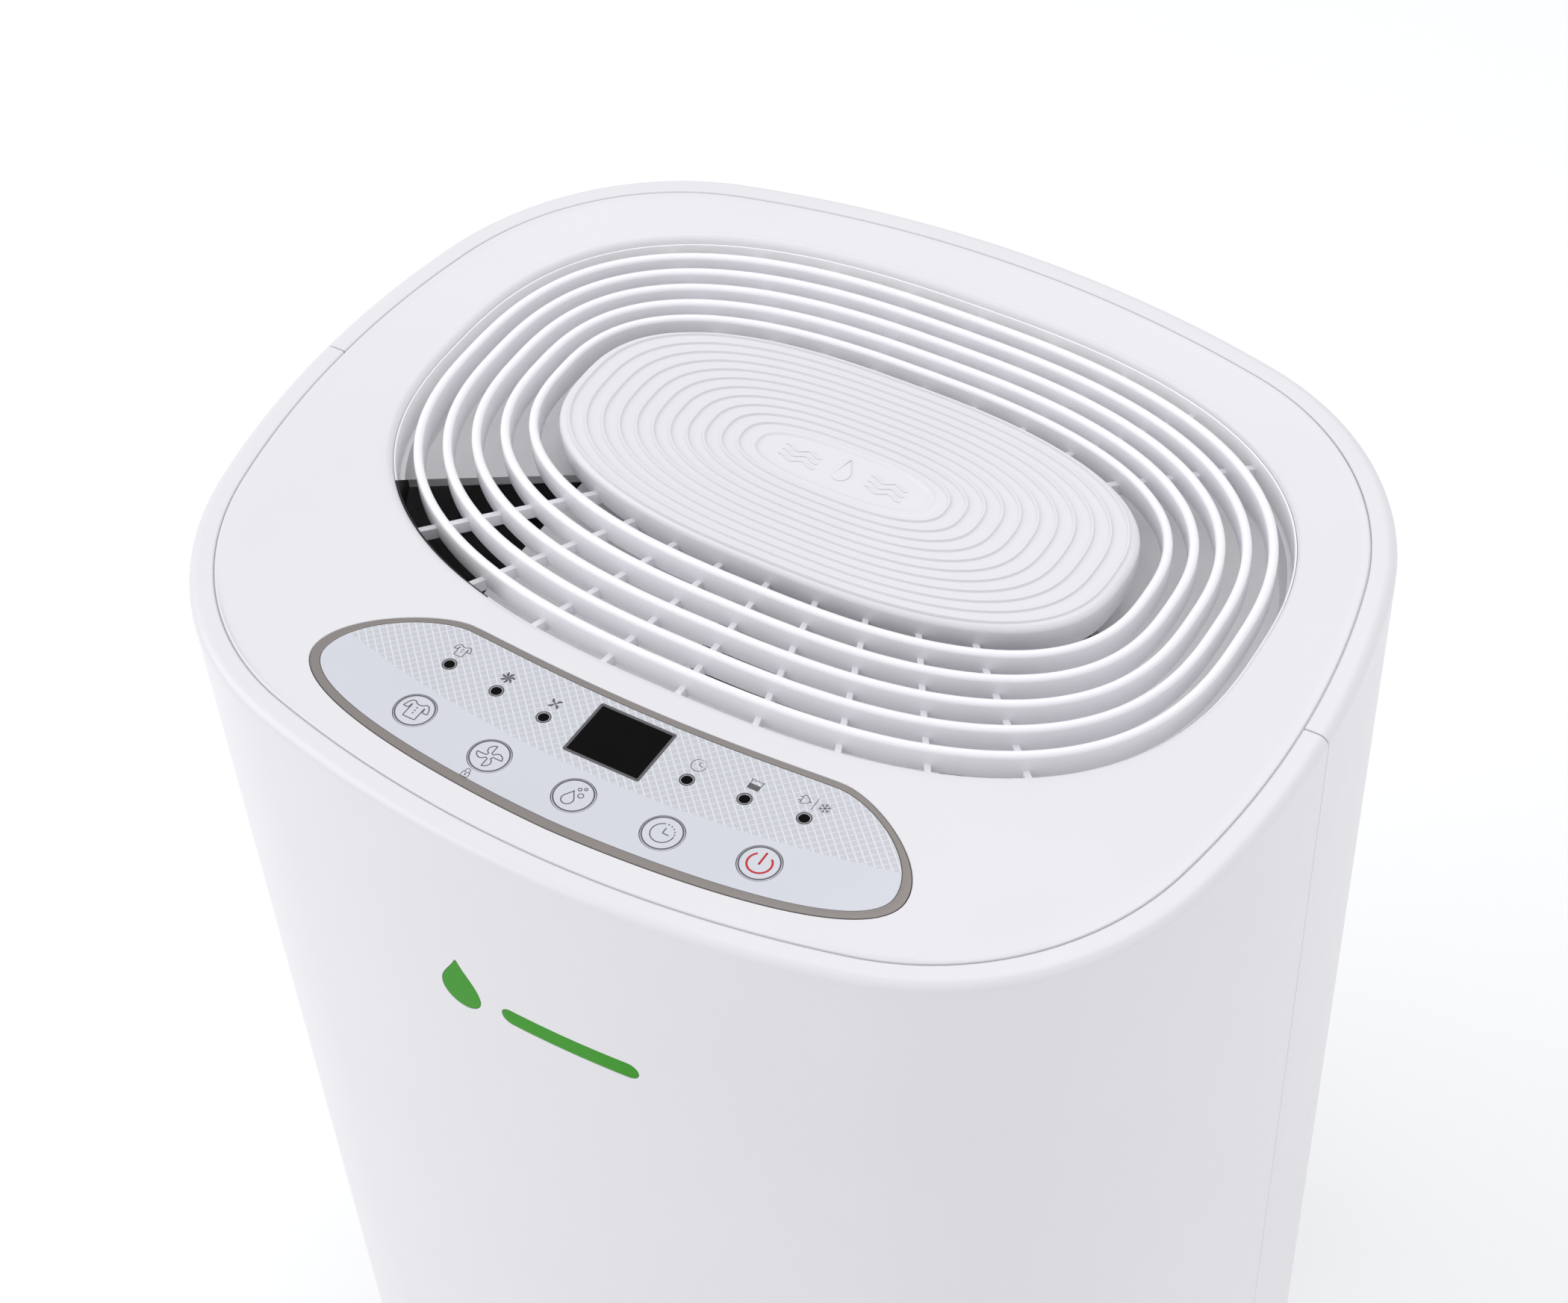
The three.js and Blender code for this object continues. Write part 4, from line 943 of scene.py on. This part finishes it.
def clock_icon(size=1.0, width=0.3):
    solids = [ink(round_line(3.2 * size, 105, 365), width)]
    solids.append(ink(polyline(np.array([(0, 1.95), (0, 0), (1.85, 0)]) * size), width))
    for angle in (90, 71, 52, 33, 16):
        turn = math.radians(angle)
        solids.append(dot(3.2 * size * math.cos(turn), 3.2 * size * math.sin(turn), width * 0.72))
    return solids


def power_icon():
    gap = 39
    return [ink(round_line(3.3, 90 + gap, 450 - gap), 0.58), ink([(0, 3.65), (0, 1.5), (0, -0.3)], 0.58),
            dot(0, 3.65, 0.29), dot(0, -0.3, 0.29)]


def bucket_icon():
    side = [(-2.0, 1.6), (-1.6, 1.25), (-1.6, -1.7), (1.6, -1.7), (1.6, 1.25), (2.0, 1.6)]
    wave = [(x, 1.35 + 0.16 * math.cos(x * 5.6)) for x in np.linspace(-1.6, 1.6, 40)]
    water = filled([(-1.55, -1.65), (1.55, -1.65), (1.55, 0.0), (-1.55, 0.0)])
    return [ink(polyline(side), 0.2), ink(wave, 0.18), water]


def plug_icon():
    shell = [(-0.9, 1.5), (-0.1, 1.5), (0.1, 1.1), (0.7, 1.0), (1.2, 0.4), (1.2, -0.4),
             (0.7, -1.0), (0.1, -1.1), (-0.1, -1.5), (-0.9, -1.5)]
    pins = [[(-1.7, y), (-0.95, y)] for y in (0.65, -0.65)]
    return [ink(polyline(shell[::-1], True), 0.2, True), *[ink(pin, 0.24) for pin in pins],
            ink([(1.25, 0), (1.9, 0)], 0.3)]


def snowflake_icon():
    solids = []
    for index in range(6):
        solids.append(ink(turned([(0, 0), (0, 1.75)], 60 * index), 0.2))
        for side in (-1, 1):
            solids.append(ink(turned([(0, 0.85), (side * 0.55, 1.4)], 60 * index), 0.18))
    return solids


def lock_icon():
    case = [(-1.05, -1.45), (1.05, -1.45), (1.05, 0.2), (-1.05, 0.2)]
    shackle = np.concatenate([[(0.65, 0.2)], round_line(0.65, 0, 180, 0, 0.85, 16), [(-0.65, 0.2)]])
    return [ink(polyline(case, True), 0.2, True), ink(shackle, 0.2), dot(0, -0.5, 0.25),
            ink([(0, -0.5), (0, -1.05)], 0.18)]


def printed(solids, x, y):
    return [on_panel(moved(solid, x, y)) for solid in solids]


def key_cap():
    radius = KEY_RADIUS - 0.05
    return lathe([(2.7, -7), (3, -6.8), (3, -2.3), (7.2, -2.3), (7.2, -1.5), (radius, -1.5),
                  (radius, -0.28), (radius - 0.08, -0.1), (radius - 0.28, 0.0)], 72)


def add_keys():
    icons = (shirt_icon(), fan_icon(), drop_icon(), clock_icon(), power_icon())
    for name, icon in zip(KEY_NAMES, icons):
        place = key_place(name)
        ring = ink(ring_line(KEY_RADIUS - 0.52, count=72), 0.42, True)
        icon_ink = print_red if name == "power_key" else print_grey
        add_piece(name + "_cap", printed([key_cap()], *place), panel_print, [name], name)
        add_piece(name + "_ring", printed([ring], *place), print_grey, body=name)
        add_piece(name + "_icon", printed(icon, *place), icon_ink, body=name)


def add_panel():
    inner = panel_outline(2.9, 2.7, 1.8)
    edge = [(0.0, -1.2), (0.0, -0.12), (-0.06, 0.0), (-0.22, 0.07)]
    bezel = loft([
        *[lift(moved_out(panel_outline(), out), height) for out, height in edge],
        *[lift(moved_out(inner, -out), height) for out, height in edge[::-1]],
    ], ring=True)
    add_piece("bezel_frame", [on_panel(bezel)], bezel_paint, ["control_bezel"])

    lens = slab(lambda out: moved_out(inner, out - 0.12), -1.2, 0.0, 0, 0.12, 3)
    wide, low, high, gap = DISPLAY["half_width"], DISPLAY["low"], DISPLAY["high"], 0.08
    cutters = [moved(rod(KEY_RADIUS + 0.15, -3, 2, 72), *key_place(name)) for name in KEY_NAMES]
    cutters += [moved(rod(LAMP_RADIUS + gap, -3, 2, 32), x, y) for x, y in LAMPS]
    cutters.append(box((-wide - gap, low - gap, -3), (wide + gap, high + gap, 2), 0.3, 0))
    add_piece("lens_sheet", [on_panel(lens)], panel_print, ["control_lens"],
              cut=[on_panel(cutter) for cutter in cutters])

    window = box((-wide, low, -1.2), (wide, high, 0), 0.3, 0.1)
    add_piece("display_glass", [on_panel(window)], dark_glass, ["display_window"])
    half = 0.42
    frame_line = rounded_rectangle(-wide - half, wide + half, low - half, high + half, 0.35, 5)
    borders = [ink(frame_line, 2 * half, True)]
    borders += [ink(ring_line(LAMP_RADIUS + 0.42, x, y, 40), 0.42, True) for x, y in LAMPS]
    icons = [
        (shirt_icon(0.68, 0.22), -55.2, 16.2),
        (pinwheel_icon(7, 2.1), -38.6, 14.1),
        (pinwheel_icon(4, 2.1), -22.3, 12.4),
        (clock_icon(0.65, 0.2), 22.3, 12.55),
        (bucket_icon(), 38.6, 14.1),
        (plug_icon(), 52.3, 16.0),
        ([ink([(0, -2.1), (0, 2.1)], 0.18)], 55.2, 16.0),
        (snowflake_icon(), 58.1, 16.0),
        (lock_icon(), -28.5, -19.6),
        (borders, 0, 0),
    ]
    marks = [solid for icon, x, y in icons for solid in printed(icon, x, y)]
    add_piece("panel_marks", marks, print_grey)

    post = [(LAMP_RADIUS - 0.1, -9.5), (LAMP_RADIUS, -9.4), (LAMP_RADIUS, -0.2), (LAMP_RADIUS - 0.15, 0)]
    for name, lamps in (("light_guide_left", LAMPS[:3]), ("light_guide_right", LAMPS[3:])):
        bridge = box((lamps[0][0] - 3, 4.6, -9.6), (lamps[-1][0] + 3, 13, -7.6), 0.8, 0.3)
        solids = [*[moved(lathe(post, 32), x, y) for x, y in lamps], bridge]
        add_piece(name + "_lamps", [on_panel(solid) for solid in solids], dark_glass, [name])


# ---- rear ----
def add_filter_door():
    gap, rows, slot_height, bar = 0.6, 12, 8.0, 2.5
    outline = rounded_rectangle(gap - DOOR_HALF, DOOR_HALF - gap, DOOR_LOW + gap, DOOR_HIGH - 1, 8.4, 8)
    pitch = (DOOR_HIGH - DOOR_LOW - 18) / rows
    columns = ((-92, -31), (-31, 31), (31, 92))
    slots = []
    for row in range(rows):
        low = DOOR_LOW + 11 + row * pitch
        for left, right in columns:
            slot = rectangle_outline(left + bar, right - bar, low, low + slot_height, 3.9)
            slots.append(wall_window(slot, 0.7))
    add_piece("intake_panel", [plate_on_wall(outline, 0.0, 3.0, 1, 0.7)], white_plastic,
              ["intake_grille"], "filter_door", slots)
    tray = rounded_rectangle(-99.4, 99.4, 230.6, 394.4, 5, 6)
    panes = [wall_window(rectangle_outline(left, right, 237.6, 387.4, 4), 0.01)
             for left, right in ((-92.4, -3), (3, 92.4))]
    add_piece("filter_tray", [plate_on_wall(tray, 3.8, 8.0, 1, 0.4)], grey_plastic,
              ["filter_frame"], "filter_door", panes)
    add_piece("filter_gauze", gauze(), gauze_grey, ["filter_mesh"], "filter_door")


def add_grip():
    depth, lip, wall, back = 98.0, 3.3, 2.5, 3.0

    def cup_loop(out, y=None):
        shape = rounded_rectangle(-GRIP_HALF - out, GRIP_HALF + out, GRIP_LOW - out, GRIP_HIGH + out,
                                  max(GRIP_CORNER + out, 0.5), 8)
        return upright(shape, wall_y(shape[:, 0], lip) if y is None else y)

    loops = [cup_loop(wall - 1, depth), cup_loop(wall, depth + 1), cup_loop(wall), cup_loop(0.0)]
    loops.append(cup_loop(0.0, depth + wall + back))
    for turn in np.linspace(0.25, math.pi / 2, 5):
        y = depth + wall + back * (1 - math.sin(turn))
        loops.append(cup_loop(-back * (1 - math.cos(turn)), y))
    add_piece("grip_moulding", [loft(loops)], white_plastic, ["grip_cup"])


def add_rear_fittings():
    screw = lathe([(2, -9), (2, 0.2), (3.7, 0.2), (3.8, 0.5), (3.6, 1.1), (2.6, 1.55), (1.0, 1.8)], 36)
    cross = [box((-wide, -tall, 0.9), (wide, tall, 3), 0.1, 0) for wide, tall in ((2.1, 0.4), (0.4, 2.1))]
    for index, x in enumerate((-SCREW_X, SCREW_X)):
        head, *slots = [moved(laid_back(solid), x, screw_seat(x), SCREW_Z) for solid in (screw, *cross)]
        name = f"rear_screw_{index + 1}"
        add_piece(name + "_head", [head], steel, [name], cut=slots)

    def drain(*solids):
        return [moved(laid_back(solid), DRAIN_X, 0, DRAIN_Z) for solid in solids]

    def cord(*solids):
        return [moved(laid_back(solid), CORD_X, 0, CORD_Z) for solid in solids]

    port = lathe([(11, 113), (11, 123.4), (10.4, 124)])
    add_piece("drain_spigot", drain(port), grey_plastic, ["drain_port"], cut=drain(rod(7, 100, 130)))
    plug = lathe([(6.2, 116), (6.7, 117), (6.7, 124.3), (9.4, 124.3),
                  (10, 124.8), (10, 126.6), (9.2, 127.4)])
    tab = slab(lambda out: rounded_rectangle(-3 - out, 3 + out, -8 - out, 8 + out, 2.9 + out),
               127, 131.5, 0, 1.2)
    add_piece("drain_plug", drain(plug, tab), rubber, ["drain_cap"], "drain_cap")
    bush = lathe([(9, 108), (9, 125.8), (8.2, 127)])
    hole = lathe([(4, 100), (4, 126), (5.2, 127.5)], 40)
    add_piece("cord_bush", cord(bush), dark_plastic, ["inlet_bush"], cut=cord(hole))


def gauze():
    """Woven strands behind the filter's frame, following the rear wall."""
    inset, pitch, half, reach = 8.7, 2.4, 0.22, 94
    solids = []
    for x in np.arange(-reach, reach + 0.1, pitch):
        strand = box((-half, -half, 236), (half, half, 389), 0.1, 0)
        solids.append(moved(strand, x, float(wall_y(x, inset))))
    for z in np.arange(238, 388, pitch):
        line = [(x, float(wall_y(x, inset)) - 0.3, z) for x in np.linspace(-reach, reach, 26)]
        solids.append(tube(line, half, 5))
    return solids


# ---- water tank ----
def tank_outline(out=0.0, inset=0.0):
    """The tank seen from above: a curved back that follows the casing, and a flat front."""
    half, front = TANK_HALF + out, TANK_FRONT - out
    xs = np.linspace(half, -half, 61)
    back = np.column_stack([xs, wall_y(xs, inset - out)])
    return np.concatenate([[(-half, front), (half, front)], back])


def add_tank():
    low, high, wall = 13.4, 193.0, 2.5
    tank = new_object("tank_shell", stacked(tank_outline, [(-0.15, low), (-0.15, high)]))
    round_edges(tank, 2.2, 4, 35)
    hollow = stacked(tank_outline, [(-wall - 0.6, low + wall), (-wall - 0.6, high + 10)])
    pull = rounded_rectangle(-45, 45, 139, 169, 5)
    pull_walls = loft([upright(pull, 112.0), upright(pull, 129.0)])
    carve(tank, [hollow])
    carve(tank, [pull_walls], "UNION")
    carve(tank, [wall_window(rectangle_outline(-42, 42, 142, 166, 6), 2.0, 118.0)])
    marks = []
    for index, z in enumerate(range(40, 131, 15)):
        mark = rounded_rectangle(79 if index % 2 else 73, 88, z, z + 0.9, 0.4, 3)
        marks.append(plate_on_wall(mark, -0.02, 0.3, 1, 0.02))
    add_piece("tank_shell", [taken_back(tank)], tank_plastic, ["water_tank"], "tank")
    add_piece("tank_level_marks", marks, print_grey, body="tank")

    lid = slab(lambda out: tank_outline(out - 0.2, 1.2), 193.3, 197.0, 0.3, 0.8)
    ribs = [box((x, 96, 196.5), (x + 2.5, 116, 197.3), 0.6, 0.3) for x in range(-60, 61, 24)]
    inlet = lathe([(14, 150), (14, 196.2), (15, 197.5), (15, 210)])
    pour = box((-100, 40, 150), (-70, 70, 230), 4, 0)
    add_piece("tank_cover", [lid, *ribs], grey_plastic, ["tank_lid"], "tank", [moved(inlet, 0, 74), pour])


# ---- base ----
def add_base():
    profile = [(12.6, 0.0), (13.6, 0.4), (13.9, 1.2), (13.3, 2.4), (13.5, 2.8), (12.9, 4.4),
               (13.1, 4.8), (12.5, 6.6), (12.3, 9.0)]
    for index, (x, y) in enumerate([(-105, -70), (105, -70), (-105, 74), (105, 74)]):
        name = f"foot_{index + 1}"
        add_piece(name + "_rubber", [moved(lathe(profile), x, y)], rubber, [name])


# ---- inner works: the model's own solids, with clean edges and finished surfaces ----
def polish(node, finish, edge, crease, body):
    """Stands in for a node with its own shape, its edges rounded and its curved faces smooth."""
    piece = bpy.data.objects.new(node + "_finished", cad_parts[node].data.copy())
    scene.collection.objects.link(piece)
    shape = bmesh.new()
    shape.from_mesh(piece.data)
    bmesh.ops.remove_doubles(shape, verts=shape.verts, dist=1e-6)
    bmesh.ops.dissolve_limit(shape, angle_limit=math.radians(1), verts=shape.verts, edges=shape.edges)
    shape.to_mesh(piece.data)
    shape.free()
    if edge:
        round_edges(piece, edge, 2, crease)
    hang(piece, finish, [node], body, crease)


def finned_coil(node, front, back, bends):
    """Thin fins between two end plates, with the tube's return bends outside."""
    half, low, high = 90.0, 232.0, 396.0
    middle, pitch, fin = (front + back) / 2, 1.8, 0.12
    solids = [box((x - fin, front + 1.5, low), (x + fin, back - 1.5, high), 0.05, 0)
              for x in np.arange(-half + pitch, half, pitch)]
    step = (high - low) / (2 * bends)
    turns = np.linspace(-math.pi / 2, math.pi / 2, 16)
    for side in (-1, 1):
        end = side * half
        solids.append(box((end - 1, front, low - 1.5), (end + 1, back, high + 1.5), 0.3, 0.3))
        for index in range(bends - (side < 0)):
            z = low + step * (2 * index + (1 if side > 0 else 2))
            line = [(end + side * step / 2 * math.cos(turn) * 0.98, middle, z + step / 2 * math.sin(turn))
                    for turn in turns]
            solids.append(tube(line, 3.4, 16))
    add_piece(node + "_fins", solids, aluminium, [node])


def add_inner_works():
    finned_coil("evaporator", 84, 106, 4)
    finned_coil("condenser", 48, 74, 4)
    rounded = [
        ("base_tray", grey_plastic, 0.5),
        ("display_module", dark_plastic, 0.3),
        ("control_board", circuit_board, 0.15),
        ("drip_tray", grey_plastic, 0.5),
        ("blower_housing", dark_plastic, 0.5),
        ("fan_motor", steel, 0.8),
        ("motor_bracket", black_steel, 0.3),
        ("compressor", black_steel, 0.3),
        ("tank_bay_liner", grey_plastic, 0.5),
        ("tank_switch", dark_plastic, 0.3),
        ("main_board_box", dark_plastic, 0.6),
        ("run_capacitor", aluminium, 0.3),
        ("humidity_sensor", white_plastic, 0.3),
        ("fan_wheel", dark_plastic, 0.0),
        ("fan_shaft", steel, 0.2),
        ("fan_nut", steel, 0.3),
        ("float_bracket", grey_plastic, 0.3),
        ("tank_float", white_plastic, 0.5),
    ]
    bodies = {"fan_wheel": "fan", "fan_shaft": "fan", "fan_nut": "fan",
              "float_bracket": "tank", "tank_float": "float"}
    for node, finish, edge in rounded:
        polish(node, finish, edge, 38, bodies.get(node, "cabinet"))
    for node in ("suction_pipe", "discharge_pipe", "capillary_tube"):
        polish(node, copper, 0.0, 75, "cabinet")
    for index in (1, 2, 3):
        polish(f"grommet_{index}", rubber, 0.2, 38, "cabinet")


# ---- stage ----
def add_camera():
    """The photo's own camera, worked out from the rim, the groove and the panel."""
    data = bpy.data.cameras.new("camera")
    data.lens, data.sensor_width = 69.72, 36
    camera = bpy.data.objects.new("camera", data)
    camera.location = (0.32474, -0.49301, 1.08596)
    camera.rotation_euler = [math.radians(angle) for angle in (42.404, 2.573, 30.874)]
    scene.collection.objects.link(camera)
    scene.camera = camera


def add_light(name, place, target, size, power):
    data = bpy.data.lights.new(name, "AREA")
    data.shape, data.size, data.size_y, data.energy = "RECTANGLE", *size, power
    light = bpy.data.objects.new(name, data)
    light.location = place
    way = Vector(target) - Vector(place)
    light.rotation_mode = "QUATERNION"
    light.rotation_quaternion = way.to_track_quat("-Z", "Y")
    scene.collection.objects.link(light)


def add_stage():
    size = 4.0
    floor_mesh = bpy.data.meshes.new("floor")
    corners = [(-size, -size, 0), (size, -size, 0), (size, size, 0), (-size, size, 0)]
    floor_mesh.from_pydata(corners, [], [(0, 1, 2, 3)])
    floor = bpy.data.objects.new("floor", floor_mesh)
    scene.collection.objects.link(floor)
    material, _, shader = new_material("floor")
    shader.inputs["Base Color"].default_value = (0.96, 0.96, 0.96, 1)
    shader.inputs["Roughness"].default_value = 0.9
    floor_mesh.materials.append(material)
    world = bpy.data.worlds.new("studio")
    world.use_nodes = True
    sky = world.node_tree.nodes["Background"]
    sky.inputs["Color"].default_value = (0.97, 0.98, 1, 1)
    sky.inputs["Strength"].default_value = 0.79
    scene.world = world
    scene.view_settings.view_transform = "Standard"
    add_light("left_softbox", (-1.5, -0.9, 1.5), (0, 0, 0.4), (1.6, 1.6), 15)
    add_light("top_softbox", (0.2, 0.7, 2.1), (0, 0, 0.4), (1.8, 1.2), 9)
    add_light("right_softbox", (1.7, -0.6, 1.0), (0.3, 0.1, 0.2), (1.4, 1.2), 3)


add_camera()
add_stage()
add_casing()
add_cover()
add_outlet()
add_disc()
add_duct()
add_panel()
add_keys()
add_filter_door()
add_grip()
add_rear_fittings()
add_tank()
add_base()
add_inner_works()
